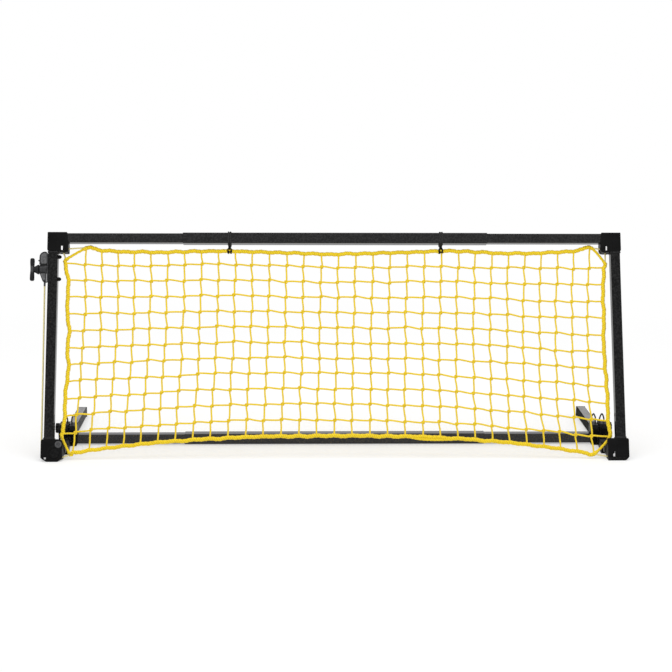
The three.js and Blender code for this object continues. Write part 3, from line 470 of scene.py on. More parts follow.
ZINC = hard_finish("dark_metal", grey(0.03, 0.04), grey(0.06, 0.04), grey(0.2), (0.25, 0.42), 900, 0.00003,
                   metal=0.85, stretch=(1, 1, 8))
YELLOW = twine_finish("net_yellow", (0.74, 0.45, 0.0, 1), (0.95, 0.74, 0.005, 1), 3, 0.012, 0.0004)
PALE = twine_finish("cord_yellow", (0.62, 0.52, 0.2, 1), (0.86, 0.78, 0.42, 1), 4, 0.009, 0.0003)
WEBBING = webbing_finish("black_webbing", grey(0.006), grey(0.02), 0.0016)


# ---- square tubes ----
def tube(axis, centre, size, wall, low, high):
    """A square tube with rolled corners and deburred ends."""
    place = PLACES[axis]
    edge = 0.35

    def ring(shrink, along, corner):
        half = size / 2 - shrink
        outline = rectangle(about(centre[0], half), about(centre[1], half), corner)
        return [place(a, b, along) for a, b in outline]

    inner = TUBE_CORNER - wall
    return stack([ring(0, low + edge, TUBE_CORNER), ring(edge, low, TUBE_CORNER - edge),
                  ring(wall, low, inner), ring(wall, high, inner),
                  ring(edge, high, TUBE_CORNER - edge), ring(0, high - edge, TUBE_CORNER)], closed=True)


BUTTON_LINE = SLEEVE_HALF - 40
BUTTON_RADIUS = 4
BUTTON_STAND = 2.5                  # how far a button stands out of the sleeve


def button_hole(side, y, z):
    return rod("y", (side * BUTTON_LINE, z), BUTTON_RADIUS + GAP, y, y + SLEEVE, sides=24)


def snap_button(side, y, z):
    """A button with a collar inside the tube, its domed head out of the bar's back."""
    inside = y + TUBE / 2 - TUBE_WALL - GAP
    out = y + SLEEVE / 2 + BUTTON_STAND
    profile = [(0, inside - 3), (BUTTON_RADIUS + 2, inside - 3), (BUTTON_RADIUS + 2, inside),
               (BUTTON_RADIUS, inside), (BUTTON_RADIUS, out - 1.6), (BUTTON_RADIUS - 0.5, out - 0.6),
               (BUTTON_RADIUS - 1.7, out - 0.1), (0, out)]
    return turned("y", (side * BUTTON_LINE, z), profile, 24)


def bar(word, place, body, y, z, end, finish):
    """A telescoping bar: a centre sleeve, a thinner tube at each end and a snap button in each."""
    sleeve = tube("x", (y, z), SLEEVE, SLEEVE_WALL, -SLEEVE_HALF, SLEEVE_HALF)
    sleeve = cut(sleeve, *(button_hole(side, y, z) for _, side in SIDES))
    piece(f"{word}_bar_centre", sleeve, place, body, finish, f"{word}_bar_sleeve")
    for name, side in SIDES:
        ends = sorted((side * (SLEEVE_HALF - OVERLAP), side * end))
        inner = cut(tube("x", (y, z), TUBE, TUBE_WALL, *ends), button_hole(side, y, z))
        piece(f"{word}_bar_end_{name}", inner, place, body, finish, f"{word}_bar_tube_{name}")
        piece(f"{word}_button_{name}", snap_button(side, y, z), place, f"button_{word}_{name}", ZINC,
              f"{word}_bar_button_{name}")


bar("rear", IN_BASE, "base", REAR_LINE, AXIS_HEIGHT, REAR_END - GAP, SATIN)
bar("top", IN_FRAME, "frame", PLANE, BAR_HEIGHT, LUG_INNER + SOCKET_DEPTH - GAP, SHEEN)


# ---- net ----
NET_TOP = TOP - 49
NET_LOW = SOLE + 20
NET_MIDDLE = SOLE + 68.5            # the bottom hem's height at the middle
NET_HALVES = {-1: 720.5, 1: 724}
NET_WAISTS = {-1: 13.5, 1: 9}       # how far each side hem is drawn in half way up
MIDDLE_SAG = 9                      # how far the top hem hangs down between the straps
TOP_SAGS = {-1: 4, 1: 6.5}          # and outside them
CORNER_REACH = 60                   # how far from its end it starts to rise
LOW_DROPS = {-1: 39, 1: 47}         # how far the bottom hem falls away
LOW_REACH = 660                     # at this distance from the middle
STRAP_LINE = SLEEVE_HALF - 124
HEM = 11
STRAND = 4.5
KNOT = 3.7
SLIP = 1.5                          # how far a twine shifts sideways as it passes a knot
LOOSE_X, LOOSE_Z = 2.3, 2.7         # how far a knot may be from its even place
LOOSE_EDGE = 4.5                    # how much further in a strand may draw a side hem
HEM_STEP = 6                        # hem points nearer to each other than this are left out
HEM_KEEP = 4                        # how far a strand stays from the end of a hem
CORNER_THIN = 1.9                   # how much thinner the rope is drawn at a cut corner
SCALLOP = (0.8, 3.0)                # how far the hem bulges between two strands
SCALLOP_LEAST = 20                  # a shorter stretch of the hem stays straight
BOW = 0.7                           # how far a twine bows sideways between two knots
CORNERS = {                         # each cut corner's end on the top or bottom hem, then on the side hem
    (-1, True): ((-667, NET_TOP + 9), (-716, NET_TOP - 23)),
    (1, True): ((688, NET_TOP + 9.5), (723.5, NET_TOP - 34)),
    (-1, False): ((-694, NET_LOW - 0.5), (-717, NET_LOW + 46)),
    (1, False): ((683, NET_LOW - 3), (720, NET_LOW + 40)),
}
# how much more a strand draws a side hem in than the others do, by side and row
HEM_PULLS = {(-1, 10): 5.5, (-1, 7): 3, (-1, 5): 3.5, (1, 1): -1, (1, 2): -2.5, (1, 3): -1.5}
rng = random.Random(7)


def top_hem(x):
    """Height of the top hem: it hangs from the straps and rises to its corners."""
    reach, side = abs(x), 1 if x > 0 else -1
    if reach < STRAP_LINE:
        return NET_TOP - MIDDLE_SAG * (1 - (reach / STRAP_LINE) ** 1.2)
    (end, height), _ = CORNERS[side, True]
    share = min((reach - STRAP_LINE) / (abs(end) - STRAP_LINE), 1)
    lift = (height - NET_TOP) * max(0, 1 - (abs(end) - reach) / CORNER_REACH) ** 1.5
    return NET_TOP - TOP_SAGS[side] * math.sin(math.pi * share) ** 2 + lift


def bottom_hem(x):
    side = 1 if x > 0 else -1
    return NET_MIDDLE - LOW_DROPS[side] * (abs(x) / LOW_REACH) ** 2.4


def side_hem(side, z):
    share = 2 * (z - NET_LOW) / (NET_TOP - NET_LOW) - 1
    return side * (NET_HALVES[side] - NET_WAISTS[side] * max(0, 1 - share ** 2))


def knot_at(column, row):
    """Where a column and a row cross, by a fitted formula: on the hem at the edge, and uneven inside."""
    across, rise = 2 * column / NET_COLUMNS - 1, row / NET_ROWS
    x = 14 * rise - 5 + across * (748 - 10 * rise - 44 * rise * (1 - rise)) - 22 * across ** 3
    z = (SOLE + 70.3 - 7.7 * across - 49 * across ** 2
         + rise * (490.3 + 2.2 * across + 55.7 * across ** 2 - 2.2 * math.cos(8.27 * across)))
    side = 1 if across > 0 else -1
    if abs(across) == 1:
        low, high = CORNERS[side, False][1][1] + HEM_KEEP, CORNERS[side, True][1][1] - HEM_KEEP
        z = max(low, min(high, z))
        pull = rng.uniform(0, LOOSE_EDGE) + HEM_PULLS.get((side, row), 0)
        return Vector((side_hem(side, z) - side * pull, PLANE, z))
    if row in (0, NET_ROWS):
        upper = row == NET_ROWS
        limit = abs(CORNERS[side, upper][0][0]) - HEM_KEEP
        x = max(-limit, min(limit, x))
        return Vector((x, PLANE, top_hem(x) if upper else bottom_hem(x)))
    return Vector((x + rng.uniform(-LOOSE_X, LOOSE_X), PLANE, z + rng.uniform(-LOOSE_Z, LOOSE_Z)))


def cut_corner(side, upper):
    """The two ends of a cut corner, the one on the top or bottom hem first."""
    return tuple(Vector((x, PLANE, z)) for x, z in CORNERS[side, upper])


knots = [[knot_at(column, row) for row in range(NET_ROWS + 1)] for column in range(NET_COLUMNS + 1)]
INNER_COLUMNS = range(1, NET_COLUMNS)
INNER_ROWS = range(1, NET_ROWS)


def scalloped(points, outward):
    """Hem points with a bulge between each pair, where no strand pulls the hem in."""
    line = [points[0]]
    for here, there in zip(points, points[1:]):
        bulge = rng.uniform(*SCALLOP)
        if (there - here).length > SCALLOP_LEAST:
            line.append((here + there) / 2 + outward * bulge)
        line.append(there)
    return line


def hem():
    """The rope round the net, laid in three strands and drawn in where each strand is tied to it."""
    up, right = Vector((0, 0, 1)), Vector((1, 0, 0))
    lower_left, lower_right = cut_corner(-1, False), cut_corner(1, False)
    upper_left, upper_right = cut_corner(-1, True), cut_corner(1, True)
    low, high = [knots[c][0] for c in INNER_COLUMNS], [knots[c][NET_ROWS] for c in INNER_COLUMNS]
    left, far = [knots[0][r] for r in INNER_ROWS], [knots[NET_COLUMNS][r] for r in INNER_ROWS]
    route = [
        *scalloped([lower_left[0], *low, lower_right[0]], -up),
        *scalloped([lower_right[1], *far, upper_right[1]], right),
        *scalloped([upper_right[0], *reversed(high), upper_left[0]], up),
        *scalloped([upper_left[1], *reversed(left), lower_left[1]], -right),
    ]
    spaced = [route[0]]
    for point in route[1:]:
        if (point - spaced[-1]).length > HEM_STEP:
            spaced.append(point)
    path = curve(spaced, 4.5, closed=True)
    return swept(path, [HEM / 2 - CORNER_THIN * corner_share(point) for point in path], 12, lobes=3,
                 depth=0.09, pitch=38, closed=True, flat=0.72)


def corner_share(point):
    """0 along the hems, rising to 1 between the two ends of a cut corner, where the rope is pulled thin."""
    side, upper = (1 if point.x > 0 else -1), point.z > SLANT / 2
    (across, _), (_, height) = CORNERS[side, upper]
    beyond = min(side * point.x - abs(across), point.z - height if upper else height - point.z)
    return max(0, min(1, beyond / 6))


def splice():
    """The hem's own end, laid along its lower edge."""
    drops = ((186, 1), (204, 4.5), (222, 6.8), (245, 7.4), (268, 6.8), (287, 5.4), (298, 4.6))
    path = curve([(x, PLANE - 1, bottom_hem(x) - drop) for x, drop in drops], 4)
    girths = [HEM / 2 - 2.2] * (len(path) - 2) + [HEM / 2 - 2.8, 1.4]
    return swept(path, girths, 12, lobes=3, depth=0.12, pitch=30, flat=0.8)


def strand(points, depth, slip):
    """A twine from hem to hem through its knots, which shift it sideways, bowed a little between them."""
    line = []
    last = len(points) - 2
    for i, (here, there) in enumerate(zip(points, points[1:])):
        near = (there - here).normalized() * KNOT
        bow = Vector((rng.uniform(-BOW, BOW), depth * rng.uniform(0.3, 1), rng.uniform(-BOW, BOW)))
        line += [here + near + slip if i else here, (here + there) / 2 + bow,
                 there - near - slip if i < last else there]
    return swept(curve(line, 7), STRAND / 2, 6)


def knot(place, turn):
    """A tight knot: a trefoil of the same twine, drawn up small."""
    path = []
    count = 21
    for i in range(count):
        t = 2 * math.pi * i / count
        swing = KNOT * (1 + 0.42 * math.cos(3 * t)) * 0.72
        spot = Vector((swing * math.cos(2 * t), 0.62 * KNOT * math.sin(3 * t), swing * math.sin(2 * t)))
        path.append(place + Matrix.Rotation(turn, 3, "Y") @ spot)
    return swept(path, STRAND * 0.46, 5, closed=True)


def in_metres(form):
    """The form with its lengths along the cord in metres, as its finish reads them."""
    return form[0], form[1], [tuple((u, v / 1000) for u, v in face) for face in form[2]]


twines = [strand(knots[c], 0.8, Vector((SLIP, 0, 0))) for c in INNER_COLUMNS]
twines += [strand([column[r] for column in knots], -0.8, Vector((0, 0, SLIP))) for r in INNER_ROWS]
ties = [knot(knots[c][r], rng.uniform(0, math.pi)) for c in INNER_COLUMNS for r in INNER_ROWS]
piece("net_mesh", in_metres(joined(*twines, *ties)), IN_FRAME, "frame", YELLOW, "net", sharp=180)
piece("net_hem", in_metres(joined(hem(), splice())), IN_FRAME, "frame", YELLOW, "net", sharp=180)


# ---- uprights and corners of the front frame, drawn for the right and mirrored for the left ----
DEPTH = (BLOCK_FRONT, BLOCK_BACK)
FIT = TUBE / 2 + GAP
TRUNNION_HOLE = 2.8
TRUNNION_REACH = 9
CHEEK = 4
AXIS_Z = TOP - 99                   # the tensioner's axis
BOLT_RISES = {"upper": 34, "lower": -26}
BOLT_RADIUS = 3
PLATE_FACE = HALF_WIDTH + 2.2
CORD_LINE = PLATE_FACE + 7
KNUCKLE_LINE = 725
KNUCKLE_HALF = 6
KNUCKLE_RADIUS = 12.4
EAR_WIDTH = 5.5
EAR_INNER = KNUCKLE_LINE - KNUCKLE_HALF - GAP
EAR_OUTER = KNUCKLE_LINE + KNUCKLE_HALF + GAP
PIN_RADIUS = 4
ELBOW_FOOT = TOP - 51               # the bracket's lower end round the post
BUSH_HEIGHT = 4
BUSH_GAP = 0.2


def wedge(axis, near, far, low, high):
    """A form between two outlines of equal count."""
    place = PLACES[axis]
    return stack([[place(a, b, low) for a, b in near], [place(a, b, high) for a, b in far]])


def ring(axis, centre, inner, outer, low, high, sides=32):
    """A flat ring."""
    place = PLACES[axis]
    corners = [(outer, low), (outer, high), (inner, high), (inner, low)]
    return stack([[place(a, b, along) for a, b in circle(centre, radius, sides)]
                  for radius, along in corners], closed=True)


def pocket(a, b, radius, y, depth):
    """A shallow recess with sloping walls in a face that looks to the front."""
    floor_outline = rectangle((a[0] + depth, a[1] - depth), (b[0] + depth, b[1] - depth), radius - depth / 2)
    mouth = rectangle((a[0] - 0.2, a[1] + 0.2), (b[0] - 0.2, b[1] + 0.2), radius)
    return wedge("y", mouth, floor_outline, y - 0.2, y + depth)


def window(near_x, near_z, far_x, far_z):
    """A slanted opening through a corner, from its outline in front to the one behind."""
    mouth, end = rectangle(near_x, near_z), rectangle(far_x, far_z)
    return wedge("y", mouth, end, BLOCK_FRONT - 0.5, BLOCK_BACK + 0.5)


def roller_cuts(height, low, high):
    """The gap between a lug's cheeks and the bearings of its roller."""
    gap = box((LUG_INNER - 5, POST_INNER - SOCKET_WALL), about(PLANE, CHEEK), (low, high))
    ends = about(PLANE, TRUNNION_REACH + GAP)
    return gap, rod("y", (ROLLER_LINE, height), TRUNNION_HOLE, *ends, sides=20)


def post_socket(low, high):
    return box(about(POST_LINE, FIT), about(PLANE, FIT), (low, high))


def bolt_holes(low, high):
    """The holes of the tensioner's two bolts."""
    return [rod("x", (PLANE, AXIS_Z + rise), BOLT_RADIUS + GAP, low, high, sides=20)
            for rise in BOLT_RISES.values()]


def post(side):
    """A square upright, drilled for the tensioner's bolts on the left."""
    ends = BLOCK_TOP - SOCKET_DEPTH + GAP, BRACKET_FOOT + SOCKET_DEPTH
    form = tube("z", (POST_LINE, PLANE), TUBE, TUBE_WALL, *ends)
    if side < 0:
        form = cut(form, *bolt_holes(POST_INNER - 1, HALF_WIDTH + 1))
    return on_side(side, form)


def bracket(side):
    """A top corner: a moulded elbow with a forked lug for the roller."""
    lug_foot = TOP - 54.5
    outer = HALF_WIDTH + SOCKET_WALL
    lug = 734
    inner = LUG_INNER - 4
    outline = rounded([(inner, lug_foot), (lug, lug_foot), (lug + 2, ELBOW_FOOT), (outer, ELBOW_FOOT),
                       (outer, TOP), (inner + 4, TOP), (inner, TOP - 32)],
                      [9 if side > 0 else 3, 1.5, 0, 4.5, 1.6, 1.6, 4])
    body = softened(prism("y", outline, *DEPTH), 0.8)
    roller_end = (ROLLER_LINE, TOP_ROLLER)
    slot = ROLLER_LINE + 4.6
    return on_side(side, cut(
        fused(body, rod("y", roller_end, 3, BLOCK_FRONT - 1, BLOCK_FRONT + 4, 0.8, 24)),
        box((inner - 1, LUG_INNER + SOCKET_DEPTH), about(PLANE, FIT), about(BAR_HEIGHT, FIT)),
        post_socket(BRACKET_FOOT - 1, BRACKET_FOOT + SOCKET_DEPTH + GAP),
        *roller_cuts(TOP_ROLLER, BRACKET_FOOT - 1, TOP_ROLLER + 9.5),
        window((slot, slot + 4), (TOP - 48.6, TOP - 37.5), (slot, slot + 9), (TOP - 47.6, TOP - 31.5)),
        ring("y", roller_end, 4.4, 5.6, BLOCK_FRONT - 0.5, BLOCK_FRONT + 0.9),
        pocket((741, 759.5), (TOP - 46, TOP - 8), 3, BLOCK_FRONT, 0.7)))


BLOCK_OUTER = HALF_WIDTH + 6.95
FACE = BLOCK_FRONT + 0.9            # the block's face, above the ledge along its sole
DISC = (733.4, -10.7)
# where a grey disc sits in the left block's face, painting a reflection on its inner side
REFLECTION_SPOT = (723.5, 12.5)
REFLECTION_RADIUS = 9


def block_body(side):
    """The moulded corner on its slanted sole, with the two ears of its hinge."""
    below = SOLE - 10
    if side > 0:
        corners = [(LUG_INNER, below), (748.5, below), (BLOCK_OUTER, SOLE + 9.5), (BLOCK_OUTER, BLOCK_TOP),
                   (LUG_INNER, BLOCK_TOP)]
        radii = [2, 0, 4, 5, 3]
    else:
        corners = [(LUG_INNER, SOLE + 10), (724, SOLE + 1), (730, below), (738, below),
                   (BLOCK_OUTER, SOLE + 10), (BLOCK_OUTER, BLOCK_TOP), (LUG_INNER, BLOCK_TOP)]
        radii = [6, 6, 0, 0, 4, 5, 9]
    section = [*((y, sole_at(y)) for y in DEPTH), (BLOCK_BACK, BLOCK_TOP), (FACE, BLOCK_TOP),
               (FACE, SOLE + 7.5), (BLOCK_FRONT - 1.9, SOLE + 5.6)]
    body = common(prism("x", section, LUG_INNER - 5, BLOCK_OUTER + 5),
                  prism("y", rounded(corners, radii), BLOCK_FRONT - 5, BLOCK_BACK + 5))
    ears = []
    for low, high in ((EAR_INNER - EAR_WIDTH, EAR_INNER), (EAR_OUTER, EAR_OUTER + EAR_WIDTH)):
        ears += [rod("x", (0, 0), KNUCKLE_RADIUS, low, high, 0.8, 48),
                 box((low + 0.2, high - 0.2), (BLOCK_BACK - 3, 0.5), about(0, KNUCKLE_RADIUS - 0.7))]
    return fused(softened(body, 0.9), *ears)


def left_face(form):
    """The left block with its disc, the seat of a grey disc that paints a reflection, a window and the slot
    of the outer cord.
    """
    profile = [(20.6, 4), (20.6, -0.8), (20, -1.5), (18.8, -1.8), (13.4, -1.8), (13.2, -0.8), (11.8, -0.8),
               (11.6, -1.8), (7, -1.8), (6.9, -1), (6.1, -1), (6, -1.8), (0, -1.8)]
    front, back = BLOCK_FRONT - 8, BLOCK_BACK + 3
    section = [(front, sole_at(front) + 0.2), (back, sole_at(back) + 0.2), (back, BLOCK_TOP),
               (front, BLOCK_TOP)]
    above_sole = prism("x", section, LUG_INNER - 9, BLOCK_OUTER + 9)
    cord_slot = box((CORD_LINE - 4.6, BLOCK_OUTER + 3), about(PLANE, 2.5),
                    (BLOCK_TOP - SOCKET_DEPTH, BLOCK_TOP + 1))
    return cut(
        fused(form, common(turned("y", DISC, profile, 64, FACE), above_sole)), cord_slot,
        rod("y", REFLECTION_SPOT, REFLECTION_RADIUS + 0.2, FACE - 3, FACE + 1.4, 0.2),
        window((754.6, 759.4), (-27.5, -21.5), (754.6, 765), (-26, -19)))


def right_face(form):
    """The right block with its slanted window and shallow pocket."""
    slot = ROLLER_LINE + 7.5
    return cut(form, window((slot, slot + 5), (-22, -9.5), (slot, slot + 11), (-20.5, -7)),
               pocket((737, 763), (SOLE + 14, BLOCK_TOP - 7), 3, FACE, 0.8))


def block(side):
    """A lower corner: it takes the post, stands on its sole and hinges on the front foot."""
    form = left_face(block_body(side)) if side < 0 else right_face(block_body(side))
    return on_side(side, cut(
        form, *roller_cuts(LOW_ROLLER, LOW_ROLLER - 9.5, BLOCK_TOP + 1),
        rod("x", (0, 0), PIN_RADIUS + GAP, LUG_INNER - 1, EAR_OUTER + EAR_WIDTH + 1),
        post_socket(BLOCK_TOP - SOCKET_DEPTH, BLOCK_TOP + 1)))


def bush(foot):
    """The thin plastic collar that centres a post in its socket."""
    rings = []
    for half, rise in ((FIT + 0.8, 0), (FIT + 1.1, 0.5), (FIT + 1.1, BUSH_HEIGHT - 0.6),
                       (FIT + 0.8, BUSH_HEIGHT), (FIT - 0.2, BUSH_HEIGHT), (FIT - 0.2, 0)):
        outline = rectangle(about(POST_LINE, half), about(PLANE, half), TUBE_CORNER)
        rings.append([(a, b, foot + rise) for a, b in outline])
    return stack(rings, closed=True)


def pulley(height):
    """A grooved roller with a trunnion on each side."""
    half = [(2.1, -TRUNNION_REACH), (2.5, -8.6), (2.5, -3.5), (5.4, -3.5), (5.8, -2.8), (5.6, -2.4),
            (3.9, -1.5), (3.6, -0.7)]
    profile = [*half, *((radius, -along) for radius, along in reversed(half))]
    return turned("y", (ROLLER_LINE, height), profile, 40, PLANE)


def corner_cord(side, upper):
    """The bare cord at a corner: out of the hem, round the roller and back into the hem."""
    along_row, along_side = (Vector((abs(end.x), end.y, end.z)) for end in cut_corner(side, upper))
    up, height = (1, TOP_ROLLER) if upper else (-1, LOW_ROLLER)
    wrap = 5.8                      # the cord's middle in the roller's groove
    turns = [math.pi / 2 * i / 4 for i in range(5)]
    bend = [(ROLLER_LINE + wrap * math.sin(turn), PLANE, height + up * wrap * math.cos(turn))
            for turn in turns]
    return swept(curve([along_row, *bend, along_side], 2.5), CORD / 2, 10)


for name, side in SIDES:
    piece(f"upright_{name}", post(side), IN_FRAME, "frame", STEEL, f"post_{name}")
    piece(f"corner_bracket_{name}", bracket(side), IN_FRAME, "frame", BLACK, f"top_bracket_{name}")
    piece(f"hinge_block_{name}", block(side), IN_FRAME, "frame", BLACK, f"corner_block_{name}")
    for level, foot in (("upper", ELBOW_FOOT - BUSH_GAP - BUSH_HEIGHT), ("lower", BLOCK_TOP + BUSH_GAP)):
        piece(f"post_bush_{level}_{name}", on_side(side, bush(foot)), IN_FRAME, "frame", DARK)
    for level, height in (("top", TOP_ROLLER), ("bottom", LOW_ROLLER)):
        piece(f"pulley_{level}_{name}", on_side(side, pulley(height)), IN_FRAME, f"roller_{level}_{name}",
              CHARCOAL, f"cord_roller_{level}_{name}")
        bare = on_side(side, corner_cord(side, level == "top"))
        piece(f"bare_cord_{level}_{name}", in_metres(bare), IN_FRAME, "frame", PALE,
              f"cord_corner_{level}_{name}", sharp=180)

# the grey disc, shaped like a cap, is a painted reflection on the left block
cap = turned("y", REFLECTION_SPOT, [(REFLECTION_RADIUS, 1.2), (REFLECTION_RADIUS, -1), (8.1, -2), (5.8, -2.2), (4.8, -1.6),
                             (4.6, 0.4), (0, 0.6)], 40, FACE)
piece("block_reflection_disc_left", mirrored(cap), IN_FRAME, "frame", CHARCOAL)


# ---- straps and their clips ----
CLIP_TOP = NET_TOP + HEM / 2 + GAP + 7
CLIP_FOOT = CLIP_TOP - 19


def loop_cord(line, offset):
    """One of a strap's two flat elastic cords: up from the clip, round the bar and down again."""
    reach = SLEEVE / 2 + 1.5
    half = [(1.3, CLIP_TOP - 2, 1.5), (1.6, CLIP_TOP + 1.5, 1.6), (8, BAR_HEIGHT - reach - 3.4, 2.2),
            (reach - 1.5, BAR_HEIGHT - reach + 0.4, 2.5), (reach, BAR_HEIGHT - reach + 5, 2.5),
            (reach, BAR_HEIGHT, 2.5), (reach, BAR_HEIGHT + reach - 4, 2.5),
            (reach - 1.2, BAR_HEIGHT + reach - 1.2, 2.5), (reach - 5, BAR_HEIGHT + reach, 2.5)]
    front = [(line + offset * x, PLANE - y, z) for y, z, x in half]
    back = [(line + offset * x, PLANE + y, z) for y, z, x in reversed(half)]
    return swept(curve([*front, *back], 2.0), 2.3, 12, flat=0.62)


def strap_clip(line):
    """A moulded hook whose two ring-shaped cheeks hold the hem between them."""
    middle = CLIP_FOOT + 8.6
    cheeks = []
    for low, high in ((PLANE - 6, PLANE - 4.3), (PLANE + 4.3, PLANE + 6)):
        plate = fused(rod("y", (line, middle), 6.7, low, high, 0.5, 40),
                      *(rod("y", (x, CLIP_FOOT + 3.2), 3.2, low + 0.01, high - 0.01, 0.5, 24)
                        for x in about(line, 3.3)),
                      box(about(line, 3.6), (low + 0.02, high - 0.02), (middle, CLIP_TOP - 1)))
        cheeks.append(cut(plate, rod("y", (line, middle), 3.4, low - 1, high + 1, 0.1, 32)))
    bridge = softened(box(about(line, 3.4), about(PLANE, 5.9),
                          (CLIP_TOP - 4.5, CLIP_TOP)), 1.0)
    return fused(bridge, *cheeks)


for name, side in SIDES:
    cords = [loop_cord(side * STRAP_LINE, offset) for offset in (-1, 1)]
    piece(f"elastic_loop_{name}", in_metres(joined(*cords)), IN_FRAME, "frame", WEBBING, f"strap_{name}",
          sharp=180)
    piece(f"hem_hook_{name}", strap_clip(side * STRAP_LINE), IN_FRAME, "frame", BLACK, f"strap_clip_{name}")


# ---- tensioner, drawn on the right and mirrored to the left post ----
AXIS = (PLANE, AXIS_Z)
CASE_BACK = PLATE_FACE + GAP
CASE_OUT = CASE_BACK + 20
CASE_TOP = AXIS_Z + 46
WAIST = AXIS_Z + 10                 # where the dome of the housing starts
TAIL = AXIS_Z - 34                  # where its outlet ends
DOME_HALF = 14
OUTLET_HALF = 11
LEVER_Z = AXIS_Z + 26
STEM_START = CASE_OUT + 2 + GAP
GRIP_MIDDLE = STEM_START + 18
FERRULE = 11
RIBS = 6
TEETH = 12


def mounting_plate():
    outline = rectangle(about(PLANE, 11), (TAIL, BRACKET_FOOT - GAP), 3)
    plate = softened(prism("x", outline, HALF_WIDTH + GAP, PLATE_FACE), 0.4)
    return cut(plate, *bolt_holes(HALF_WIDTH - 1, PLATE_FACE + 1))


def sunk(near, far, half, depth):
    """The hollows in both faces of a form of that half width, from one outline to another."""
    return [wedge("y", near, far, y - into / 4, y + into)
            for y, into in ((PLANE - half, depth), (PLANE + half, -depth))]


def dome():
    """The housing's rimmed upper part."""
    outline = rectangle((CASE_BACK, CASE_OUT), (WAIST, CASE_TOP), [0, 3, 14, 4], 8)
    near = rectangle((CASE_BACK + 2, CASE_OUT - 3), (WAIST + 3, CASE_TOP - 3), [1, 2, 11.5, 3], 8)
    far = rectangle((CASE_BACK + 3, CASE_OUT - 4.4), (WAIST + 4.2, CASE_TOP - 4.4), [1, 2, 9.6, 2], 8)
    form = softened(prism("y", outline, *about(PLANE, DOME_HALF)), 1.3, 3)
    return cut(form, *sunk(near, far, DOME_HALF, 1.6))


def outlet():
    """The housing's tapered lower part, where the cord comes out."""
    outline = rounded([(CASE_BACK + 2, AXIS_Z - 6), (CASE_OUT - 1, AXIS_Z - 6), (CASE_OUT - 1, AXIS_Z - 13),
                       (CORD_LINE + 4, TAIL), (CASE_BACK + 2, TAIL)], [0, 0, 2, 2.5, 1.5])
    near = [(CASE_BACK + 4, AXIS_Z - 14), (CASE_OUT - 5, AXIS_Z - 14), (CORD_LINE + 2.5, TAIL + 5),
            (CASE_BACK + 4, TAIL + 5)]
    far = [(CASE_BACK + 5, AXIS_Z - 15), (CASE_OUT - 7, AXIS_Z - 15), (CORD_LINE + 2, TAIL + 6),
           (CASE_BACK + 5, TAIL + 6)]
    form = softened(prism("y", outline, *about(PLANE, OUTLET_HALF)), 1.2)
    return cut(form, *sunk(near, far, OUTLET_HALF, 1.3))


def hub():
    """The housing's round middle, stepped like the ribs of its cover."""
    steps = []
    for i in range(RIBS):
        radius, along = 14.4 - 0.3 * i, 1.6 + 2.6 * i
        steps += [(radius, along), (radius, along + 1.5), (radius - 0.8, along + 1.9),
                  (radius - 0.8, along + 2.3)]
    profile = [(13.6, 0), (14.2, 0.7), *steps, (12.2, 18), (11.6, 20), (10.8, 21.4), (10, 22)]
    return turned("x", AXIS, profile, 56, CASE_BACK)


def case():
    """The tensioner's housing, hollow for the drum and open for the cord, the stem and the lever."""
    neck = softened(box((CASE_BACK + 0.5, CASE_OUT - 3), about(PLANE, 12.2), (AXIS_Z + 2, WAIST + 4)), 0.6)
    return cut(
        fused(hub(), neck, dome(), outlet()),
        rod("x", AXIS, 10.8, CASE_BACK - 1, CASE_OUT - 4, 0.2, 40),
        rod("x", AXIS, 6.3, CASE_OUT - 6, CASE_OUT + 3, 0.1, 32),
        box((CASE_BACK - 1, CASE_OUT - 5), about(PLANE, 7), (AXIS_Z + 5, CASE_TOP - 8)),
        box((CASE_OUT - 8, CASE_OUT + 1), about(PLANE, 5.3), (LEVER_Z - 5, LEVER_Z + 3)),
        rod("z", (CORD_LINE, PLANE), CORD / 2 + 0.5, TAIL - 1, AXIS_Z, 0.1, 24))


def case_panels():
    """The light insets in the housing's front and back faces."""
    upper = rectangle((CASE_BACK + 0.3, CASE_OUT - 3.4), (WAIST + 3.4, CASE_TOP - 3.4), [0.6, 2, 11, 0.8], 8)
    lower = rounded([(CASE_BACK + 4, AXIS_Z - 12.5), (CASE_OUT - 3.4, AXIS_Z - 12.5),
                     (CASE_OUT - 3.6, AXIS_Z - 15), (CORD_LINE + 2.6, TAIL + 3), (CASE_BACK + 4, TAIL + 3)],
                    0.8, 3)
    panels = []
    for outline, half, depth in ((upper, DOME_HALF, 2), (lower, OUTLET_HALF, 1.7)):
        for outward in (-1, 1):
            face = PLANE + outward * half
            panels.append(prism("y", outline, *sorted((face - outward * depth, face + outward * 0.3))))
    return joined(*panels)


def hub_cover():
    """The ribbed ring round the hub, whose lighter grey is a painted highlight on the round hub."""
    profile = [(12.5, 0.6), (14.6, 0.6)]
    for i in range(RIBS):
        radius, along = 15 - 0.25 * i, 1.2 + 2.7 * i
        profile += [(radius, along), (radius, along + 1.6), (radius - 0.9, along + 2),
                    (radius - 0.9, along + 2.5)]
    return turned("x", AXIS, [*profile, (13, 18.2), (11.4, 18.4)], 56, CASE_BACK)


def painted_grip_highlight():
    """Thin lighter plates on both faces of the grip's middle: a painted highlight across the round grip."""
    outline = rectangle(about(GRIP_MIDDLE, 4), about(AXIS_Z, 9), 3.4, 6)
    highlight_plates = []
    for outward in (-1, 1):
        face = PLANE + outward * 6.2
        highlight_plates.append(softened(prism("y", outline, *sorted((face - outward * 3, face))), 0.5))
    return joined(*highlight_plates)


def plate_foot():
    """The thicker end of the mounting plate, below the hub."""
    return softened(box((HALF_WIDTH + 0.4, CASE_BACK + 1.9), about(PLANE, 10.8),
                        (TAIL + 0.8, AXIS_Z - 13)), 0.5)


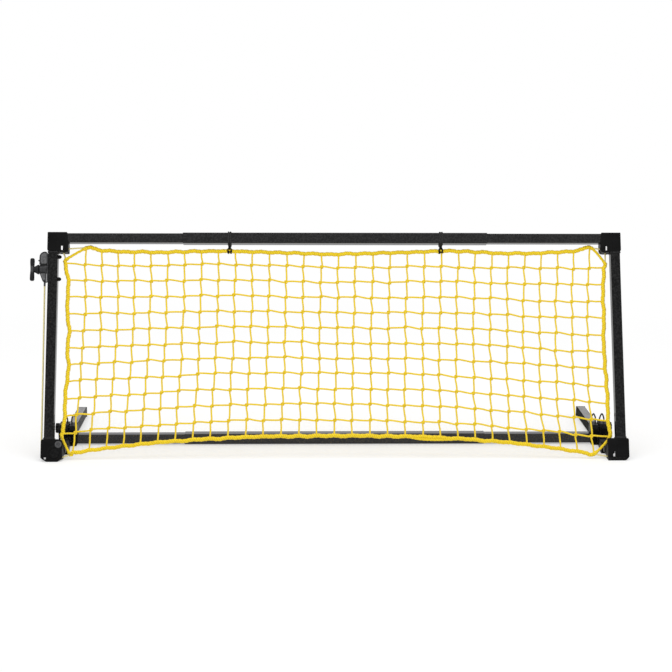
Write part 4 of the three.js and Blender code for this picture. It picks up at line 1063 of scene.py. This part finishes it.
def winder():
    """The drum with its flange and a ratchet wheel of hooked teeth."""
    drum = turned("x", AXIS, [(10, 1), (10, 3), (5.7, 3.4), (5.7, 26)], 40, CASE_BACK)
    teeth = []
    for i in range(TEETH):
        for share, radius in ((0.0, 10), (0.15, 9.8), (0.2, 8.2), (0.6, 9)):
            turn = 2 * math.pi * (i + share) / TEETH
            teeth.append((PLANE + radius * math.cos(turn), AXIS_Z + radius * math.sin(turn)))
    return fused(drum, prism("x", teeth, CASE_OUT - 7.5, CASE_OUT - 4.8))


def handle():
    """A T-shaped grip, thick and round at its ends, on a flared stem."""
    half = [(30.5, 2.4, 2.4), (30.0, 4.2, 4.2), (28.6, 5.4, 5.4), (26, 6, 6), (20, 6, 6), (14, 5.8, 6),
            (9, 5.3, 5.7), (4, 5.0, 5.5)]
    rows = [(-rise, a, b) for rise, a, b in half] + [(rise, a, b) for rise, a, b in reversed(half)]
    rings = []
    for rise, a, b in rows:
        rings.append([(GRIP_MIDDLE + a * math.copysign(abs(u) ** 0.8, u),
                       PLANE + b * math.copysign(abs(v) ** 0.8, v), AXIS_Z + rise)
                      for u, v in circle((0, 0), 1, 40)])
    profile = [(12.4, 0), (13, 0.6), (12.8, 3), (11, 6), (9, 9.5), (7.8, 13), (5.4, 17)]
    return cut(fused(turned("x", AXIS, profile, 48, STEM_START), stack(rings)),
               rod("x", AXIS, 6, STEM_START - 1, CASE_OUT + 6.3, 0.1, 32))


def lever():
    """The release lever: a barrel in the housing's slot with a curved tab."""
    x, z = CASE_OUT - 1.5, LEVER_Z - 1
    corners = ((-1, -1.2), (3, -1.4), (6, -2.4), (6.4, -0.9), (3, 0.8), (-1, 1.2))
    tab = softened(prism("y", [(x + a, z + b) for a, b in corners], *about(PLANE, 4.8)), 0.4)
    return fused(rod("y", (x, z), 2, *about(PLANE, 5), 0.3, 24), tab)


def bolt(rise):
    at = PLANE, AXIS_Z + rise
    head = prism("x", circle(at, 4.4, 6), CASE_BACK, CASE_BACK + 2)
    return fused(rod("x", at, BOLT_RADIUS, POST_INNER - 6, CASE_BACK + 1, 0.5, 24), softened(head, 0.3))


def cap_nut(rise):
    """A hexagon nut closed by a dome."""
    at = PLANE, AXIS_Z + rise
    face = POST_INNER - GAP
    hexagon = softened(prism("x", circle(at, 5.6, 6), face - 4.6, face), 0.4)
    arc = [(4.6 * math.cos(t), face - 4.4 - 4.2 * math.sin(t)) for t in (0, 0.35, 0.7, 1.05, 1.35, 1.57)]
    dome = turned("x", at, [(4.6, face - 3), *arc], 32)
    return cut(fused(hexagon, dome), rod("x", at, BOLT_RADIUS + GAP, face - 6.2, face + 1, 0.2, 24))


def ferrule():
    """The crimped sleeve on the cord below the housing."""
    low = TAIL - GAP - FERRULE
    profile = [(2.5, 0), (2.8, 0.4), (2.8, 1.6), (2.6, 1.9), (2.6, FERRULE - 1.9), (2.8, FERRULE - 1.6),
               (2.8, FERRULE - 0.4), (2.5, FERRULE)]
    return cut(turned("z", (CORD_LINE, PLANE), profile, 32, low),
               rod("z", (CORD_LINE, PLANE), CORD / 2 + 0.35, low - 1, low + FERRULE + 1, 0.1, 24))


def outer_cord():
    """The run from the drum down the outside of the post into the lower block."""
    low = BLOCK_TOP - SOCKET_DEPTH + GAP
    line = [(CORD_LINE, PLANE, AXIS_Z - 14), (CORD_LINE, PLANE, TAIL), (CORD_LINE, PLANE, TAIL - 14),
            (CORD_LINE - 1, PLANE, (TAIL + BLOCK_TOP) / 2), (CORD_LINE - 2, PLANE, BLOCK_TOP),
            (CORD_LINE - 2, PLANE, low)]
    return swept(curve(line, 4), CORD / 2 + 0.3, 12)


def left_piece(name, form, body, finish, *nodes):
    """A piece of the front frame that was drawn on the right and belongs on the left."""
    piece(name, mirrored(form), IN_FRAME, body, finish, *nodes)


left_piece("mounting_plate", mounting_plate(), "frame", CHARCOAL, "tensioner_plate")
left_piece("plate_foot", plate_foot(), "frame", LIGHT)
# the cover's lighter grey is painted highlight on the round hub; its ribs are real
left_piece("hub_cover", hub_cover(), "frame", MIDDLE)
# the lighter plates on the grip's middle are a painted highlight
left_piece("painted_grip_highlight", painted_grip_highlight(), "tension_winder", MIDDLE)
left_piece("tensioner_case", case(), "frame", DARK, "tensioner_housing")
left_piece("case_panels", case_panels(), "frame", CHARCOAL)
left_piece("winding_drum", winder(), "tension_winder", ZINC, "tensioner_spool")
left_piece("t_grip", handle(), "tension_winder", DARK, "tensioner_handle")
left_piece("pawl_lever", lever(), "release_lever", CHARCOAL, "release_lever")
for name, rise in BOLT_RISES.items():
    left_piece(f"plate_bolt_{name}", bolt(rise), "frame", ZINC, f"tensioner_bolt_{name}")
    left_piece(f"cap_nut_{name}", cap_nut(rise), "frame", BLACK, f"tensioner_nut_{name}")
left_piece("crimped_ferrule", ferrule(), "frame", ZINC, "cord_ferrule")
piece("bare_cord_outer", in_metres(mirrored(outer_cord())), IN_FRAME, "frame", PALE, "cord_outer_run",
      sharp=180)


# ---- ground base ----
JOINT_X = (SIDE_LINE - 26, SIDE_LINE + 21)
JOINT_Y = (92, 142)
JOINT_TOP = 57
RAIL_END = JOINT_Y[0] + 12
RAIL_START = TUBE / 2 + 2
FOOT_END = RAIL_START + 32
LEG_PIVOT = 162
LEG_END = LEG_PIVOT + 238
LEG_TOP = AXIS_HEIGHT + TUBE / 2
CLEVIS = (LEG_TOP + GAP, LEG_TOP + GAP + 7)
KNOB_Z = 44
STUD_RADIUS = 3
PEG_ROW = 137.2
PEG_LINES = {"inner": SIDE_LINE - 15, "outer": SIDE_LINE + 8}
PEG_HALF = 6                        # from a peg's middle to each of its legs
PEG_RADIUS = 2
SLOT_FLOOR = 44                     # how low a peg's hoop may come
SEAM = SIDE_LINE - 5.5              # where the rear joint's two boxes meet
STRIP_HALF = 10.4
STRIP_START = 180


def joint_box(x, front, top, chamfer):
    """An upright box whose upper front edge is cut off."""
    back = JOINT_Y[1]
    outline = [(front, 0), (back, 0), (back, top), (front + chamfer, top), (front, top - chamfer)]
    return softened(prism("x", outline, *x), 1.6)


def peg_slot(line):
    """The holes of a peg's two legs, with a slot over them for its hoop."""
    legs = [rod("z", (x, PEG_ROW), PEG_RADIUS + GAP, 1, JOINT_TOP + 2, 0.1, 20)
            for x in about(line, PEG_HALF)]
    return fused(*legs, box(about(line, 5.3), about(PEG_ROW, 2.2), (SLOT_FLOOR, JOINT_TOP + 1)))


def casting():
    """The rear elbow: two upright boxes with a web between them and a fork for the leg."""
    outer = joint_box((SEAM + 1, JOINT_X[1]), JOINT_Y[0], JOINT_TOP, 10)
    inner = joint_box((JOINT_X[0], SEAM - 1), JOINT_Y[0] + 2.5, JOINT_TOP - 3, 9)
    web = box(about(SEAM, 3), (97, 139.5), (2, 51))
    arm = rectangle(about(SIDE_LINE, TUBE / 2), (138, LEG_PIVOT + 13), [0, 0, 9, 9])
    arms = [softened(prism("z", arm, *heights), 0.6) for heights in ((0, AXIS_HEIGHT - FIT), CLEVIS)]
    gusset = [(139, CLEVIS[1] - 1), (151, CLEVIS[1] - 1), (139, 51)]
    gussets = [softened(prism("x", gusset, x, x + 3), 0.5) for x in (SIDE_LINE - 12, SIDE_LINE + 9)]
    return cut(
        fused(outer, web, inner, *arms, *gussets),
        box(about(SIDE_LINE, FIT), (JOINT_Y[0] - 2, RAIL_END), about(AXIS_HEIGHT, FIT)),
        box((JOINT_X[0] - 1, REAR_END), about(REAR_LINE, FIT), about(AXIS_HEIGHT, FIT)),
        rod("z", (SIDE_LINE, LEG_PIVOT), PIN_RADIUS + GAP, -1, JOINT_TOP, 0.1, 24),
        rod("x", (REAR_LINE, KNOB_Z), STUD_RADIUS + GAP, JOINT_X[1] - 10, JOINT_X[1] + 1, 0.1, 24),
        pocket((SIDE_LINE + 2, SIDE_LINE + 18), (32, 44.5), 2, JOINT_Y[0], 0.8),
        ring("y", (SIDE_LINE + 8, 38), 4.2, 6, 91, 93.2),
        ring("y", (SIDE_LINE - 15.5, 38), 2.6, 4, 93, 95.4),
        *(peg_slot(line) for line in PEG_LINES.values()))


def foot():
    """The fixed half of the front hinge, with the socket of the side rail."""
    half = SHELL / 2
    outline = rectangle((RAIL_START - GAP, FOOT_END), (0, AXIS_HEIGHT + half), [1, 1, 2, 6])
    shell = softened(prism("x", outline, *about(SIDE_LINE, half)), 0.9)
    near, far = about(KNUCKLE_LINE, KNUCKLE_HALF)
    knuckle = rod("x", (0, AXIS_HEIGHT), KNUCKLE_RADIUS, near, far, 0.8, 48)
    neck = box((near + 0.2, far - 0.2), (0, RAIL_START + 2), about(AXIS_HEIGHT, 6.2))
    return cut(fused(shell, knuckle, neck),
               box(about(SIDE_LINE, FIT), (RAIL_START + SOCKET_WALL, FOOT_END + 1), about(AXIS_HEIGHT, FIT)),
               rod("x", (0, AXIS_HEIGHT), PIN_RADIUS + GAP, near - 1, far + 1, 0.1, 24))


def hinge_bolt():
    """A headed bolt through the ears and the knuckle, with a groove near its end."""
    inner, outer = EAR_INNER - GAP - EAR_WIDTH, EAR_OUTER + EAR_WIDTH - 1
    profile = [(4, inner - 3), (6.2, inner - 2.6), (7, inner - 1.6), (7, inner - 0.4), (6.6, inner),
               (PIN_RADIUS, inner + 0.1), (PIN_RADIUS, outer - 3), (3.3, outer - 2.8), (3.3, outer - 2),
               (PIN_RADIUS, outer - 1.8), (PIN_RADIUS, outer - 0.6), (3.5, outer)]
    return turned("x", (0, AXIS_HEIGHT), profile)


def swing_leg():
    """A square tube with a shallow bed along its top for the ribbed strip."""
    form = tube("y", (SIDE_LINE, AXIS_HEIGHT), TUBE, TUBE_WALL, LEG_PIVOT - TUBE / 2, LEG_END)
    bed = box(about(SIDE_LINE, STRIP_HALF + 0.2), (STRIP_START - 0.2, LEG_END + 1),
              (LEG_TOP - 0.7, LEG_TOP + 1))
    return cut(form, rod("z", (SIDE_LINE, LEG_PIVOT), PIN_RADIUS + GAP, 0, JOINT_TOP, 0.1, 24), bed)


def grip_strip():
    """The leg's ribbed top: five rounded ribs on a thin strip."""
    base = LEG_TOP - 0.5
    ribs = [(shift + across, base + rise) for shift in (8, 4, 0, -4, -8)
            for across, rise in ((1.5, 0), (1.1, 0.45), (-1.1, 0.45), (-1.5, 0))]
    profile = [(-STRIP_HALF, base - 0.4), (STRIP_HALF, base - 0.4), (STRIP_HALF, base), *ribs,
               (-STRIP_HALF, base)]
    return prism("y", [(SIDE_LINE + x, z) for x, z in profile], STRIP_START, LEG_END - 0.3)


def leg_cap():
    """A plain cap with a plug in the leg's end."""
    outline = rectangle((LEG_END, LEG_END + 4), (0, LEG_TOP), [0.3, 1.6, 2, 0.3])
    rim = softened(prism("x", outline, *about(SIDE_LINE, TUBE / 2)), 0.7)
    plug = TUBE / 2 - TUBE_WALL - GAP
    return fused(rim, box(about(SIDE_LINE, plug), (LEG_END - 12.5, LEG_END + 1), about(AXIS_HEIGHT, plug)))


def pivot_bolt():
    head = CLEVIS[1] + GAP
    at = (SIDE_LINE, LEG_PIVOT)
    hexagon = softened(prism("z", circle(at, 7, 6), head, head + 3), 0.5)
    return fused(hexagon, rod("z", at, PIN_RADIUS, 0.5, head + 1, 0.5, 24))


def knob():
    """A clamp knob with eight lobes, a dished face and its stud."""
    face = JOINT_X[1] + GAP
    axis = (REAR_LINE, KNOB_Z)
    profile = ((0, 11.8, 1.0), (0.8, 12.6, 1.3), (8.6, 12.6, 1.4), (9.6, 12.0, 1.2), (10, 11.0, 1.0),
               (9.4, 7.8, 0.1), (8.4, 7.2, 0), (8.6, 4.2, 0), (9.4, 3.6, 0), (9.5, 0.2, 0))
    rings = [[(face + along, a, b) for a, b in circle(axis, radius, 96, 8, depth)]
             for along, radius, depth in profile]
    return fused(stack(rings), rod("x", axis, STUD_RADIUS, JOINT_X[1] - 9, face + 2, 0.3, 24))


def peg(line):
    """A wire ground peg, bent to a pointed hoop, with both its legs in the casting."""
    half = [(PEG_HALF, 20), (PEG_HALF, 40), (PEG_HALF, 60), (5.3, 66), (3.4, 71.5), (1.5, 75.4)]
    points = [(line - x, PEG_ROW, z) for x, z in half] + [(line, PEG_ROW, 77)]
    points += [(line + x, PEG_ROW, z) for x, z in reversed(half)]
    return swept(curve(points, 2), PEG_RADIUS, 12)


for name, side in SIDES:
    moulded = ((casting, "casting", "rear_joint"), (foot, "hinge_foot", "front_foot"))
    for shape, word, part in moulded:
        piece(f"{word}_{name}", on_side(side, shape()), IN_BASE, "base", BLACK, f"{part}_{name}")
    rail = tube("y", (side * SIDE_LINE, AXIS_HEIGHT), TUBE, TUBE_WALL, RAIL_START + SOCKET_WALL + GAP,
                RAIL_END - GAP)
    piece(f"rail_{name}", rail, IN_BASE, "base", STEEL, f"side_rail_{name}")
    piece(f"hinge_bolt_{name}", on_side(side, hinge_bolt()), IN_BASE, "base", ZINC, f"hinge_pin_{name}")
    piece(f"pivot_bolt_{name}", on_side(side, pivot_bolt()), IN_BASE, "base", ZINC, f"leg_bolt_{name}")
    # the left leg takes the lighter copy with painted light; the right one keeps the steel's dark colour,
    # with a matt gloss
    leg_finish = PAINTED_LIGHT_STEEL if side < 0 else MATT
    piece(f"swing_leg_{name}", on_side(side, swing_leg()), IN_BASE, f"leg_{name}", leg_finish, f"leg_{name}")
    # the strip's light grey paints the lit top face of the leg, over its real ribs
    piece(f"grip_strip_{name}", on_side(side, grip_strip()), IN_BASE, f"leg_{name}", LIGHT)
    piece(f"foot_cap_{name}", on_side(side, leg_cap()), IN_BASE, f"leg_{name}", BLACK, f"leg_end_cap_{name}")
    piece(f"lobed_knob_{name}", on_side(side, knob()), IN_BASE, f"knob_{name}", BLACK, f"clamp_knob_{name}")
    for word, line in PEG_LINES.items():
        piece(f"wire_peg_{name}_{word}", peg(side * line), IN_BASE, f"peg_{name}_{word}", ZINC,
              f"ground_peg_{name}_{word}")


# ---- stage: camera, floor and light ----
CAMERA_PLACE = (-0.0786, -3.991, 1.1319)
CAMERA_PITCH = 11.966
CAMERA_YAW = 1.475
CAMERA_ROLL = 0.276
FOCAL_PIXELS = 1502.3
IMAGE_WIDTH = 672
SENSOR = 36
FLOOR_HALF = 30
FLOOR_BLEND = (0.7, 2.2)            # the floor turns white between these distances, in metres
ROOM_LIGHT = 0.75                   # the room's strength for diffuse light, where 1 shows as white


def camera():
    data = bpy.data.cameras.new("camera")
    data.sensor_width = SENSOR
    data.lens = FOCAL_PIXELS * SENSOR / IMAGE_WIDTH
    obj = placed("camera", data)
    turn = (Matrix.Rotation(-math.radians(CAMERA_YAW), 4, "Z")
            @ Matrix.Rotation(math.radians(90 - CAMERA_PITCH), 4, "X")
            @ Matrix.Rotation(math.radians(CAMERA_ROLL), 4, "Z"))
    obj.matrix_world = Matrix.Translation(CAMERA_PLACE) @ turn
    bpy.context.scene.camera = obj


def seen_directly(tree):
    """1 for rays from the camera, from gloss or through glass, and 0 for diffuse light."""
    rays = node(tree, "ShaderNodeLightPath").outputs
    seen = computed(tree, "MAXIMUM", rays["Is Camera Ray"], rays["Is Glossy Ray"])
    return computed(tree, "MAXIMUM", seen, rays["Is Transmission Ray"])


def floor_material():
    """Pale paint, plain white where it is far from the object."""
    material, tree, shader = blank("floor_paint")
    shader.inputs["Roughness"].default_value = 0.9
    shader.inputs["Specular IOR Level"].default_value = 0.1
    shade = spread(tree, noise(tree, 3), 0, 1)
    tree.links.new(blended(tree, shade, grey(0.95), grey(0.97)), shader.inputs["Base Color"])
    reach = node(tree, "ShaderNodeVectorMath", {0: coordinates(tree)}, operation="LENGTH").outputs["Value"]
    far = computed(tree, "MULTIPLY", spread(tree, reach, 0.4, 1, *FLOOR_BLEND), seen_directly(tree))
    white = node(tree, "ShaderNodeEmission", {"Color": (1, 1, 1, 1), "Strength": 1.0}).outputs["Emission"]
    mixed = node(tree, "ShaderNodeMixShader", {0: far, 1: shader.outputs["BSDF"], 2: white})
    tree.links.new(mixed.outputs["Shader"], tree.nodes["Material Output"].inputs["Surface"])
    return material


def floor():
    """A wide level floor at the ground."""
    corners = [(x, y, 0) for x, y in rectangle((-FLOOR_HALF, FLOOR_HALF), (-FLOOR_HALF, FLOOR_HALF))]
    mesh = bpy.data.meshes.new("floor")
    mesh.from_pydata(corners, [], [(0, 1, 2, 3)])
    mesh.materials.append(floor_material())
    placed("floor", mesh)


def softbox(name, place, target, size, power):
    data = bpy.data.lights.new(name, "AREA")
    data.shape = "RECTANGLE"
    data.size, data.size_y = size
    data.energy = power
    obj = placed(name, data)
    aim = (Vector(target) - Vector(place)).to_track_quat("-Z", "Y").to_matrix().to_4x4()
    obj.matrix_world = Matrix.Translation(place) @ aim


def room():
    """A pale room that lights the object softly and shows as white."""
    world = bpy.data.worlds.new("room")
    world.use_nodes = True
    tree = world.node_tree
    tree.nodes.clear()
    strength = spread(tree, seen_directly(tree), ROOM_LIGHT, 1, 0, 1)
    light = node(tree, "ShaderNodeBackground", {"Color": (1, 1, 1, 1), "Strength": strength})
    out = node(tree, "ShaderNodeOutputWorld")
    tree.links.new(light.outputs["Background"], out.inputs["Surface"])
    bpy.context.scene.world = world


# the CAD's own nodes take the finish of their slot, wherever one shows
FINISHES = {finish["slot"]: finish for finish in (STEEL, BLACK, CHARCOAL, ZINC, YELLOW, PALE, WEBBING)}
for part in frame["nodes"].values():
    for material_slot in part.material_slots:
        material_slot.material = FINISHES[material_slot.material.name]

camera()
floor()
softbox("ceiling", place=(0, -0.6, 3.2), target=(0, 0, 0), size=(4, 3), power=60)
room()
bpy.context.scene.view_settings.view_transform = "Standard"
